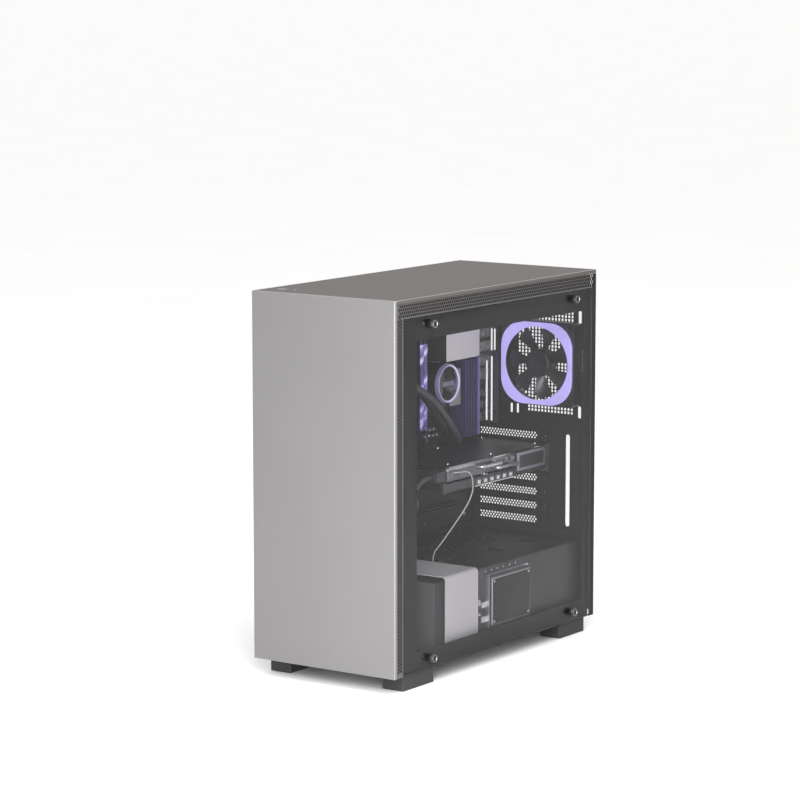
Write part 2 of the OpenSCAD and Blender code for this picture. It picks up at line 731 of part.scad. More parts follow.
// Hub and pitched blades between two heights, bored for the frame's pin
module fan_rotor(z0, z1, blade_r, hub_r, blades, bore_z) {
    difference() {
        union() {
            translate([0, 0, z0]) cylinder(h = z1 - z0, r = hub_r);
            intersection() {
                translate([0, 0, z0 + 0.5]) cylinder(h = z1 - z0 - 1, r = blade_r);
                union() for (a = [0:360 / blades:359]) rotate(a)
                    translate([hub_r - 1, 0, (z0 + z1) / 2]) rotate([38, 0, 0])
                        translate([0, -hub_r * 0.9, -0.8]) cube([blade_r, hub_r * 1.8, 1.6]);
            }
        }
        translate([0, 0, z0 - 1]) cylinder(h = bore_z - z0 + 1, r = 1.5 + pin_gap);
    }
}

// Stands a fan drawn along z with its back against the given distance, facing the front
module facing_front(x, d, h) {
    translate([x, fy(d), fz(h)]) rotate([90, 0, 0]) children();
}

module rear_fan_frame() color(black) in_case()
    facing_front(rear_fan_x, rear_in_d - 0.02, rear_fan_h) fan_frame(fan_depth - 4.5, 57.5, 20, 15);

module rear_fan_light_ring() color(glow) in_case()
    facing_front(rear_fan_x, rear_in_d - 0.02 - (fan_depth - 4.5), rear_fan_h)
        translate([0, 0, 0.02]) linear_extrude(4.4) difference() {
            round_rect([-58.5, 58.5], [-58.5, 58.5], 36, 8);
            circle(r = 52.5);
        }

module rear_fan_rotor() color(black) in_case()
    facing_front(rear_fan_x, rear_in_d - 0.02, rear_fan_h) fan_rotor(3.6, 22, 50.5, 20, 7, 15.5);

module front_fan_frames() color(black) in_case() {
    for (h = front_fan_h)
        facing_front(front_fan_x, rad_d[0] - 0.1, h) fan_frame(fan_depth, 57.5, 20, 17);
}

module front_fan_rotor(h) color(charcoal) in_case()
    facing_front(front_fan_x, rad_d[0] - 0.1, h) fan_rotor(3.6, 23, 54, 20, 9, 17.5);

module front_fan_rotor_lower() front_fan_rotor(front_fan_h[0]);
module front_fan_rotor_upper() front_fan_rotor(front_fan_h[1]);

// ---------------------------------------------------------------- graphics card

module gpu_board() color([0.08, 0.1, 0.09]) in_case() {
    pcb = [gpu_h1 - 4, gpu_h1 - 2.4];
    box([-75, 36], [230, 482], pcb);
    box([board_top + 2.2, -75], [342, 428], pcb);
}

module gpu_backplate() color(charcoal) in_case() {
    sheet_h(gpu_h1 - 1.6, gpu_h1) difference() {
        rect([-72, gpu_x1], [gpu_d0, 480]);
        hole_grid([-40, 236], 7, 3, 9, 9, 3.4);
    }
}

module gpu_heatsink() color(silver) in_case() {
    pitch = 3.2;
    base_h = gpu_h1 - 8;
    fins = 71;
    sheet_x(-66, 36) union() {
        rect([236, 464], [base_h, gpu_h1 - 4.4]);
        for (i = [0:fins - 1])
            rect([238 + i * pitch, 239 + i * pitch], [gpu_h0 + 13, base_h + 1]);
    }
    side_pipe(312, 362, gpu_h1 - 11);
    side_pipe(352, 402, gpu_h1 - 17.5);
    // pins for the two fans
    for (d = gpu_fan_d) rod_h(-12, d, [gpu_h0 + 2.5, gpu_h0 + 20], 1.5);
}

// Heat pipe that leaves the fins on the glass side, runs back and turns in again
module side_pipe(d0, d1, h) {
    pipe_r = 3;
    bend_r = 4.5;
    out_x = 41;
    for (d = [d0, d1]) rod_x([30, out_x], d, h, pipe_r);
    rod_d(out_x + bend_r, [d0 + bend_r, d1 - bend_r], h, pipe_r);
    for (end = [[d0 + bend_r, -90], [d1 - bend_r, 0]])
        translate([out_x, fy(end[0]), fz(h)]) rotate([0, 0, end[1]])
            rotate_extrude(angle = 90) translate([bend_r, 0]) circle(r = pipe_r);
}

module gpu_shroud() color(charcoal) in_case() {
    sheet_h(gpu_h0, gpu_h0 + 2) difference() {
        rect([-74, gpu_x1], [gpu_d0, 480]);
        for (d = gpu_fan_d) translate([-12, d]) circle(r = gpu_fan_r + 1.5);
    }
    box([-74, -72], [gpu_d0, 480], [gpu_h0 + 2, gpu_h1 - 14]);
    box([gpu_x1 - 2, gpu_x1], [gpu_d0, 480], [gpu_h0 + 2, gpu_h0 + 12]);
    box([-72, gpu_x1 - 2], [gpu_d0, gpu_d0 + 2], [gpu_h0 + 2, gpu_h1 - 5]);
}

module gpu_bracket() color(bright) in_case() {
    slot_2 = slot_top_h - slot_pitch;
    slot_3 = slot_top_h - 2 * slot_pitch;
    sheet_d(rear_in_d - 0.9, rear_in_d - 0.02) difference() {
        rect([slot_x[0] - 4, slot_x[1] + 14], [slot_3 - 9.2, slot_2 + 9.2]);
        for (h = [slot_2, slot_3]) translate([slot_x[1] + 9, h]) circle(r = 1.7, $fn = 24);
        for (x = [-70, -46, -22]) round_rect([x, x + 17], [slot_2 - 3, slot_2 + 3], 1, 2);
        hole_grid([-70, slot_3 - 3.4], 20, 3, 4.8, 3.4, 1.8, 2.4);
    }
    // display sockets behind the three windows
    for (x = [-70, -46, -22])
        box([x - 0.5, x + 17.5], [rear_in_d - 14, rear_in_d - 0.92], [slot_2 - 3.4, slot_2 + 3.4]);
}

module gpu_fan(d) color(black) in_case()
    translate([-12, fy(d), fz(gpu_h0)]) fan_rotor_down();

// Low fan whose bore opens upwards, towards the heatsink
module fan_rotor_down() {
    translate([0, 0, 12]) mirror([0, 0, 1]) fan_rotor(0.4, 10.5, gpu_fan_r, 15, 9, 9.9);
}

module gpu_fan_front() gpu_fan(gpu_fan_d[0]);
module gpu_fan_rear() gpu_fan(gpu_fan_d[1]);

module gpu_power_plug() color(black) in_case() {
    box([20, 40], [204, 225.9], [222, 236]);
}

module gpu_power_cable() color(black) in_case() swept_tube(plug_route, 4, 10);

// ---------------------------------------------------------------- power supply

module psu_case() color(black) in_case() {
    wall = 1.2;
    difference() {
        box(psu_x, psu_d, psu_h);
        box([psu_x[0] + wall, psu_x[1] - wall], [psu_d[0] + wall, psu_d[1] - wall],
            [psu_h[0] + wall, psu_h[1] - wall]);
        // intake over the fan
        translate([mid(psu_x), fy(mid(psu_d)), fz(psu_h[0] - 1)]) cylinder(h = 4, r = 58);
        // exhaust grille, inlet and switch openings
        sheet_d(psu_d[1] - 3, psu_d[1] + 1) {
            hole_grid([psu_x[0] + 13, psu_h[0] + 15], 9, 7, 8.4, 9, 3.8);
            rect([10, 38.2], [55, 77]);
            rect([43, 57], [55, 77]);
            for (p = psu_screw_places()) translate(p) circle(r = 1.7);
        }
    }
    // fan guard rings, arms and pin
    centre = [mid(psu_x), fy(mid(psu_d)), fz(psu_h[0])];
    translate(centre) linear_extrude(wall) {
        for (r = [18, 34, 50]) difference() {
            circle(r = r);
            circle(r = r - 1.8);
        }
        for (a = [0:45:135]) rotate(a) rect([-58.5, 58.5], [-0.9, 0.9]);
        circle(r = 8);
    }
    translate(centre) cylinder(h = 16, r = 1.5);
}

module psu_fan_rotor() color(charcoal) in_case()
    translate([mid(psu_x), fy(mid(psu_d)), fz(psu_h[0])]) fan_rotor(4, 22, 57, 20, 9, 16.5);

module psu_inlet() color(black) in_case() {
    difference() {
        union() {
            box([8, 40.2], [psu_d[1], 488.5], [53, 79]);
            box([10.2, 38], [462, psu_d[1]], [55.2, 76.8]);
        }
        box([12.5, 35.7], [472, 489], [58.5, 74]);
    }
    for (x = [17, 24, 31]) box([x - 1, x + 1], [471, 486], [64, 68.5]);
}

// Rocker resting with its lower half pressed in; it turns on an axis along x
module psu_switch() color(black) in_case()
    translate([50, fy(484.5), fz(66)]) rotate([-7, 0, 0]) difference() {
        translate([-6, -6, -10]) cube([12, 8.5, 20]);
        translate([-7, 0, 0]) rotate([0, 90, 0]) cylinder(h = 14, r = 1.9);
    }

module indicator_cable() color([0.7, 0.7, 0.7]) in_case() swept_tube(indicator_route, 1, 8);

base_pan();
rear_panel();
motherboard_tray();
inner_frame();
side_frame();
top_panel();
side_panel();
side_panel_screws();
front_panel();
glass_panel();
glass_border();
thumbscrew_front_lower();
thumbscrew_front_upper();
thumbscrew_rear_lower();
thumbscrew_rear_upper();
feet();
dust_filter();
psu_shroud();
shroud_front_cover();
ssd_bracket();
ssd();
drive_cage();
slot_covers();
machine_screws();
io_shield();
io_ports();
power_button();
reset_button();
motherboard();
board_slots();
vrm_heatsink();
io_cover();
memory_sticks();
memory_light_bars();
pump_housing();
pump_light_ring();
coolant_tube_supply();
coolant_tube_return();
radiator();
front_fan_frames();
front_fan_rotor_lower();
front_fan_rotor_upper();
rear_fan_frame();
rear_fan_light_ring();
rear_fan_rotor();
gpu_board();
gpu_backplate();
gpu_heatsink();
gpu_shroud();
gpu_bracket();
gpu_fan_front();
gpu_fan_rear();
gpu_power_plug();
gpu_power_cable();
psu_case();
psu_fan_rotor();
psu_inlet();
psu_switch();
indicator_cable();
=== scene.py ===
import math
import random

import bmesh
import bpy
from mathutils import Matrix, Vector


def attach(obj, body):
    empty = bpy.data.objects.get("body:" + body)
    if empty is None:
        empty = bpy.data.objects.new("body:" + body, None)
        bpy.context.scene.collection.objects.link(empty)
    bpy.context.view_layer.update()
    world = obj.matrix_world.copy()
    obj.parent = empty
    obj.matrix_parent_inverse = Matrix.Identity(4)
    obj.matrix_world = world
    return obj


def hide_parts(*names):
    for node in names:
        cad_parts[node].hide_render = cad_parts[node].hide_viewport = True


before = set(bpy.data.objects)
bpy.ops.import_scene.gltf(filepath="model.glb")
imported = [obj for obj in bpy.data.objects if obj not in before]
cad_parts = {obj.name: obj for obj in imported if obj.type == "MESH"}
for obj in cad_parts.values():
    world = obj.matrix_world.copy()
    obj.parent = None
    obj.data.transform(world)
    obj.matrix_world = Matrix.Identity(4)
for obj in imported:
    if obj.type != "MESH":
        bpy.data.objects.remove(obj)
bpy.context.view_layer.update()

# ------------------------------------------------------------------ places
# Case millimetres: x from the middle, d back from the front face, h up from the underside.
MM = 0.001
MIDDLE_SHIFT = 4.5
HALF_DEPTH = 247
FOOT_H = 22


def row_y(d):
    return (d - HALF_DEPTH) * MM


def row_z(h):
    return (h + FOOT_H) * MM


def at(x, d, h):
    """A case place, in row-frame metres."""
    return Vector(((x - MIDDLE_SHIFT) * MM, row_y(d), row_z(h)))


# ------------------------------------------------------------------ camera
AZIMUTH = math.radians(34.83)
ELEVATION = math.radians(8.23)
camera_data = bpy.data.cameras.new("camera")
camera_data.sensor_width = 36
camera_data.lens = 139.9
camera_data.clip_start = 0.05
camera_data.clip_end = 1000
camera = bpy.data.objects.new("camera", camera_data)
camera.location = (2.3655, -3.476, 0.959)
camera.rotation_euler = (math.pi / 2 - ELEVATION, 0, AZIMUTH)
bpy.context.scene.collection.objects.link(camera)
bpy.context.scene.camera = camera
bpy.context.scene.view_settings.view_transform = "Standard"


# ------------------------------------------------------------------ materials
def new_material(name):
    mat = bpy.data.materials.new(name)
    mat.use_nodes = True
    tree = mat.node_tree
    shader = tree.nodes["Principled BSDF"]
    coords = tree.nodes.new("ShaderNodeTexCoord")
    return mat, tree, shader, coords.outputs["Object"]


def stretched(tree, coords, scale):
    """Coordinates squeezed by scale along each axis."""
    mapping = tree.nodes.new("ShaderNodeMapping")
    mapping.inputs["Scale"].default_value = scale
    tree.links.new(coords, mapping.inputs["Vector"])
    return mapping.outputs["Vector"]


def noise(tree, coords, scale, detail, rough=0.55):
    node = tree.nodes.new("ShaderNodeTexNoise")
    node.inputs["Scale"].default_value = scale
    node.inputs["Detail"].default_value = detail
    node.inputs["Roughness"].default_value = rough
    tree.links.new(coords, node.inputs["Vector"])
    return node.outputs["Fac"]


def ramp(tree, factor, stops):
    """Colours picked from (place, colour) stops by a value from 0 to 1."""
    node = tree.nodes.new("ShaderNodeValToRGB")
    tree.links.new(factor, node.inputs["Fac"])
    elements = node.color_ramp.elements
    while len(elements) < len(stops):
        elements.new(0.5)
    for element, (place, colour) in zip(elements, stops):
        element.position = place
        element.color = (*colour, 1)
    return node.outputs["Color"]


def spread(tree, factor, low, high):
    """A noise value opened out to run from low to high."""
    node = tree.nodes.new("ShaderNodeMapRange")
    node.inputs["From Min"].default_value = 0.3
    node.inputs["From Max"].default_value = 0.7
    node.inputs["To Min"].default_value = low
    node.inputs["To Max"].default_value = high
    tree.links.new(factor, node.inputs["Value"])
    return node.outputs["Result"]


def bump(tree, shader, height, strength, distance):
    """Fine relief from a height value; distance is in metres."""
    node = tree.nodes.new("ShaderNodeBump")
    node.inputs["Strength"].default_value = strength
    node.inputs["Distance"].default_value = distance
    tree.links.new(height, node.inputs["Height"])
    tree.links.new(node.outputs["Normal"], shader.inputs["Normal"])


def scaled(colour, k):
    return tuple(min(1.0, c * k) for c in colour)


def surface(name, colour, rough, metal=0.0, vary=0.05, patch=14, grain=1400, relief=0.15, depth=0.00006,
            stretch=None, coat=0.0, specular=0.5, rough_vary=0.06):
    """A paint, plastic or metal with patches of tone, a fine grain and an uneven gloss."""
    mat, tree, shader, coords = new_material(name)
    patches = noise(tree, coords, patch, 4)
    colour_out = ramp(tree, patches, [(0.3, scaled(colour, 1 - vary)), (0.7, scaled(colour, 1 + vary))])
    tree.links.new(colour_out, shader.inputs["Base Color"])
    grain_coords = stretched(tree, coords, stretch) if stretch else coords
    fine = noise(tree, grain_coords, grain, 2, 0.6)
    tree.links.new(spread(tree, fine, rough - rough_vary, rough + rough_vary), shader.inputs["Roughness"])
    bump(tree, shader, fine, relief, depth)
    shader.inputs["Metallic"].default_value = metal
    shader.inputs["Specular IOR Level"].default_value = specular
    shader.inputs["Coat Weight"].default_value = coat
    return mat


def stepped(name, axis, edge, below, above, rough=0.48, metal=0.25, facing=None, other=None):
    """A paint of one tone below a place on an axis and another above it.

    With facing, faces that don't look along that axis get the tone named other.
    """
    mat, tree, shader, coords = new_material(name)

    def pick(factor, first, second):
        mixed = tree.nodes.new("ShaderNodeMix")
        mixed.data_type = "RGBA"
        tree.links.new(factor, mixed.inputs[0])
        tree.links.new(first, mixed.inputs[6])
        tree.links.new(second, mixed.inputs[7])
        return mixed.outputs[2]

    def over(vector, letter, limit, size=False):
        parts = tree.nodes.new("ShaderNodeSeparateXYZ")
        tree.links.new(vector, parts.inputs["Vector"])
        value = parts.outputs[letter]
        if size:
            absolute = tree.nodes.new("ShaderNodeMath")
            absolute.operation = "ABSOLUTE"
            tree.links.new(value, absolute.inputs[0])
            value = absolute.outputs[0]
        past = tree.nodes.new("ShaderNodeMath")
        past.operation = "GREATER_THAN"
        past.inputs[1].default_value = limit
        tree.links.new(value, past.inputs[0])
        return past.outputs[0]

    patches = noise(tree, coords, 12, 4)
    low = ramp(tree, patches, [(0.3, scaled(below, 0.96)), (0.7, scaled(below, 1.04))])
    high = ramp(tree, patches, [(0.3, scaled(above, 0.96)), (0.7, scaled(above, 1.04))])
    tone = pick(over(coords, axis, edge), low, high)
    if facing:
        geometry = tree.nodes.new("ShaderNodeNewGeometry")
        rest = ramp(tree, patches, [(0.3, scaled(other, 0.96)), (0.7, scaled(other, 1.04))])
        tone = pick(over(geometry.outputs["True Normal"], facing, 0.6, True), rest, tone)
    tree.links.new(tone, shader.inputs["Base Color"])
    fine = noise(tree, coords, 2200, 2, 0.6)
    tree.links.new(spread(tree, fine, rough - 0.05, rough + 0.05), shader.inputs["Roughness"])
    bump(tree, shader, fine, 0.15, 0.00004)
    shader.inputs["Metallic"].default_value = metal
    shader.inputs["Specular IOR Level"].default_value = 0.3
    return mat


def glowing(name, colour, dark, strength, bands=None):
    """A glowing surface: a frosted diffuser lit from inside, and on the card's edge a painted highlight;
    bands draws slanted streaks across it, painted glints, instead of an even tone.
    """
    mat, tree, shader, coords = new_material(name)
    if bands:
        slanted = tree.nodes.new("ShaderNodeMapping")
        slanted.inputs["Rotation"].default_value = (bands["turn"], 0, 0)
        tree.links.new(coords, slanted.inputs["Vector"])
        tone = noise(tree, stretched(tree, slanted.outputs["Vector"], bands["scale"]), 1, 1, 0.3)
        lit = ramp(tree, tone, bands["stops"])
    else:
        tone = noise(tree, coords, 35, 2)
        lit = ramp(tree, tone, [(0.3, scaled(colour, 0.9)), (0.7, scaled(colour, 1.08))])
    tree.links.new(lit, shader.inputs["Emission Color"])
    shader.inputs["Emission Strength"].default_value = strength
    shader.inputs["Base Color"].default_value = (*dark, 1)
    shader.inputs["Roughness"].default_value = 0.35
    return mat


def side_glass_material():
    """Clear glass that mirrors the room more at a low angle and lets lamps and sight through."""
    mat, tree, shader, coords = new_material("tempered_glass")
    output = tree.nodes["Material Output"]
    clear = tree.nodes.new("ShaderNodeBsdfTransparent")
    clear.inputs["Color"].default_value = (0.93, 0.93, 0.94, 1)
    fresnel = tree.nodes.new("ShaderNodeFresnel")
    fresnel.inputs["IOR"].default_value = 1.3
    geometry = tree.nodes.new("ShaderNodeNewGeometry")
    front_only = tree.nodes.new("ShaderNodeMath")
    front_only.operation = "SUBTRACT"
    front_only.inputs[0].default_value = 1
    share = tree.nodes.new("ShaderNodeMath")
    share.operation = "MULTIPLY"
    mixed = tree.nodes.new("ShaderNodeMixShader")
    tree.links.new(geometry.outputs["Backfacing"], front_only.inputs[1])
    tree.links.new(fresnel.outputs["Fac"], share.inputs[0])
    tree.links.new(front_only.outputs[0], share.inputs[1])
    tree.links.new(share.outputs[0], mixed.inputs["Fac"])
    tree.links.new(clear.outputs["BSDF"], mixed.inputs[1])
    tree.links.new(shader.outputs["BSDF"], mixed.inputs[2])
    tree.links.new(mixed.outputs["Shader"], output.inputs["Surface"])
    shader.inputs["Base Color"].default_value = (0.95, 0.95, 0.96, 1)
    shader.inputs["Metallic"].default_value = 1
    smears = noise(tree, coords, 22, 4)
    tree.links.new(spread(tree, smears, 0.015, 0.06), shader.inputs["Roughness"])
    return mat


def circuit_material():
    """Dark solder mask with faint copper runs under it."""
    mat, tree, shader, coords = new_material("solder_mask")
    runs = tree.nodes.new("ShaderNodeTexBrick")
    runs.inputs["Scale"].default_value = 150
    runs.inputs["Mortar Size"].default_value = 0.025
    runs.inputs["Color1"].default_value = (0.009, 0.009, 0.011, 1)
    runs.inputs["Color2"].default_value = (0.013, 0.013, 0.015, 1)
    runs.inputs["Mortar"].default_value = (0.028, 0.027, 0.03, 1)
    upright = tree.nodes.new("ShaderNodeMapping")
    upright.inputs["Rotation"].default_value = (0, math.pi / 2, 0)
    tree.links.new(coords, upright.inputs["Vector"])
    tree.links.new(upright.outputs["Vector"], runs.inputs["Vector"])
    tree.links.new(runs.outputs["Color"], shader.inputs["Base Color"])
    shader.inputs["Roughness"].default_value = 0.38
    bump(tree, shader, runs.outputs["Fac"], 0.3, 0.00005)
    return mat


SATIN = (0.198, 0.193, 0.196)
satin_front = surface("satin_paint", SATIN, 0.46, 0.55, 0.025, 6, 2600, 0.12, 0.00003, rough_vary=0.05)
EVERYWHERE = 9                                                # a step past the whole case: one tone all over
# The top panel wears the front's satin paint; its dark warm tone, and the lips' lesser darkening, are painted
# shade and a painted brown reflection from above
TOP_PAINTED_SHADE_TONE = (0.040, 0.029, 0.026)
TOP_EDGE_PAINTED_SHADE_TONE = (0.075, 0.071, 0.069)
satin_top_painted_shade = stepped("top_paint_with_painted_shade", "Y", EVERYWHERE, TOP_PAINTED_SHADE_TONE, TOP_PAINTED_SHADE_TONE, 0.46, 0.15, "Z", TOP_EDGE_PAINTED_SHADE_TONE)
satin_side = surface("satin_side_paint", (0.20, 0.197, 0.197), 0.48, 0.5, 0.03, 8, 2600, 0.12, 0.00003)
HOLE_PAINTED_SHADE = (0.004, 0.004, 0.004)                             # painted shade: inside the frame's holes, on its faces that don't look sideways, and past its rear end
frame_grey_with_painted_shade = stepped("frame_paint_with_painted_shade", "Y", row_y(482.4), (0.085, 0.081, 0.079), HOLE_PAINTED_SHADE, 0.46, 0.3,
                     "X", HOLE_PAINTED_SHADE)
dark_steel = surface("dark_powder_coat", (0.010, 0.0096, 0.010), 0.5, 0.1, 0.1, 20, 1800, 0.3, 0.00006,
                     specular=0.3)
inner_dark = surface("inner_powder_coat", (0.009, 0.0086, 0.009), 0.55, 0.1, 0.12, 16, 1800, 0.3, 0.00006,
                     specular=0.3)
black_print = surface("black_print", (0.006, 0.0053, 0.0058), 0.5, 0.0, 0.05, 20, 1500, 0.05, 0.00002,
                      specular=0.12)
pale_cover = surface("pale_cover_paint", (0.30, 0.29, 0.30), 0.5, 0.1, 0.03, 12, 2400, 0.12, 0.00003)
# The I/O cover is pale only on faces that look along x; all its other faces get a near-black tone, painted
# shade
COVER_TONE = (0.70, 0.68, 0.68)
COVER_PAINTED_SHADE_TONE = (0.035, 0.034, 0.035)
io_cover_paint_with_painted_shade = stepped("io_cover_paint_with_painted_shade", "Z", EVERYWHERE, COVER_TONE, COVER_TONE, 0.42, 0.2,
                      "X", COVER_PAINTED_SHADE_TONE)
plate_grey = surface("plate_grey_paint", (0.56, 0.55, 0.56), 0.42, 0.35, 0.03, 12, 2200, 0.12, 0.00003)
# The shroud's top, above h 107.4, is painted darker than its sides: painted shade under the card
shroud_grey_shaded_top = stepped("shroud_paint_painted_shade", "Z", row_z(107.4), (0.024, 0.0225, 0.024), (0.006, 0.0055, 0.006),
                      0.46, 0.2)
cage_grey = surface("cage_paint", (0.10, 0.098, 0.10), 0.46, 0.25, 0.05, 12, 2200, 0.15, 0.00004)
# Brighter copies of the panel paints for the front and top panels' bevels: painted highlight lines along
# those edges; the top's lower bevels keep its painted shade
front_edge_painted_highlight = surface("front_edge_painted_highlight_metal", (0.50, 0.49, 0.49), 0.22, 0.8, 0.03, 20, 1200, 0.1, 0.00002)
top_edge_painted_highlight = stepped("top_edge_painted_highlight_metal", "Z", row_z(492.6), TOP_EDGE_PAINTED_SHADE_TONE, (0.62, 0.60, 0.60), 0.25, 0.6)
screw_metal = surface("screw_rim_metal", (0.21, 0.21, 0.215), 0.3, 0.9, 0.06, 30, 900, 0.2, 0.00003)
dish_metal = surface("dished_metal", (0.05, 0.05, 0.052), 0.3, 0.9, 0.06, 30, 900, 0.2, 0.00003)
bar_grey = surface("bar_grey_metal", (0.20, 0.205, 0.24), 0.35, 0.3, 0.05, 40, 1500, 0.1, 0.00003)
# Lighter grey for the strip round the glass opening: a painted highlight line
opening_highlight_grey = surface("opening_painted_highlight", (0.13, 0.125, 0.12), 0.35, 0.6, 0.04, 40, 1500, 0.1, 0.00003)
# Dark memory shells whose violet tint is painted glow from the light bars
memory_shell_violet_cast = surface("memory_shell_violet_cast", (0.035, 0.028, 0.075), 0.35, 0.5, 0.1, 30, 1300, 0.2, 0.00004)
bright_metal = surface("plated_steel", (0.44, 0.44, 0.455), 0.26, 0.95, 0.06, 30, 900, 0.25, 0.00004,
                       stretch=(1, 1, 9))
black_plastic = surface("black_plastic", (0.018, 0.018, 0.02), 0.42, 0.0, 0.08, 24, 2600, 0.35, 0.00005)
gloss_black = surface("gloss_black", (0.012, 0.012, 0.013), 0.1, 0.0, 0.06, 20, 300, 0.02, 0.00002, coat=0.5,
                      rough_vary=0.02)
black_metal = surface("black_anodised", (0.02, 0.02, 0.022), 0.34, 0.5, 0.08, 26, 1500, 0.25, 0.00004)
rubber = surface("foot_rubber", (0.022, 0.021, 0.021), 0.75, 0.0, 0.12, 40, 1700, 0.6, 0.00012)
hose_rubber = surface("hose_sleeve", (0.016, 0.016, 0.017), 0.4, 0.0, 0.1, 30, 520, 0.7, 0.0002,
                      stretch=(1, 1.7, 1))
cable_grey = surface("grey_cable_skin", (0.27, 0.265, 0.265), 0.42, 0.0, 0.05, 60, 1500, 0.3, 0.00005)
cable_black = surface("black_cable_skin", (0.02, 0.02, 0.021), 0.5, 0.0, 0.1, 60, 900, 0.6, 0.0001)
fin_metal = surface("fin_metal", (0.40, 0.40, 0.42), 0.3, 0.9, 0.06, 40, 1200, 0.25, 0.00004,
                    stretch=(1, 6, 1))
pipe_metal = surface("pipe_metal", (0.55, 0.54, 0.55), 0.2, 0.95, 0.05, 30, 800, 0.15, 0.00003)
# Violet painted glow on the heatsink's metal, brighter past d 449.5: light from the nearby lamps painted into
# its colour
violet_painted_glow_metal = stepped("heatsink_painted_violet_glow", "Y", row_y(449.5), (0.075, 0.066, 0.17), (0.30, 0.27, 0.62),
                       0.3, 0.5)
gold_pin = surface("gold_pin", (0.55, 0.40, 0.16), 0.25, 0.95, 0.06, 60, 900, 0.1, 0.00002)
solder_mask = circuit_material()
fan_black = surface("fan_plastic", (0.012, 0.012, 0.014), 0.34, 0.0, 0.08, 30, 2200, 0.2, 0.00004)
LILAC = (0.44, 0.39, 0.86)
ring_glow = glowing("lilac_glow", LILAC, (0.10, 0.09, 0.14), 1.0)
pump_glow = glowing("pale_glow", (0.55, 0.52, 0.80), (0.12, 0.12, 0.14), 0.9)
pump_rim = glowing("dim_lilac_glow", (0.13, 0.12, 0.22), (0.06, 0.055, 0.08), 0.7)
# The bars' violet glow is their own light; the slanted white streaks, with darker gaps between, are painted
# glints
bar_glow_painted_glints = glowing(
    "glow_with_painted_glints", LILAC, (0.06, 0.05, 0.10), 0.8,
    {"turn": 0.75, "scale": (10, 115, 10),
     "stops": [(0.43, (0.03, 0.025, 0.10)), (0.55, (0.13, 0.11, 0.42)), (0.72, (0.72, 0.69, 1.0))]},
)
# A glowing pale strip for the card's lower edge, no lamp: a painted highlight
painted_edge_glow = glowing("card_edge_painted_highlight", (0.5, 0.49, 0.52), (0.3, 0.3, 0.3), 0.5)
glass = side_glass_material()


# ------------------------------------------------------------------ mesh tools
MOST_OF_HALF = 0.45                                           # largest edge radius, as a share of a side
SHARP_ANGLE = math.radians(32)                                # edges steeper than this stay crisp

AXES = {
    "x": lambda t, a, b: (t, a, b),
    "d": lambda t, a, b: (a, t, b),
    "h": lambda t, a, b: (a, b, t),
}


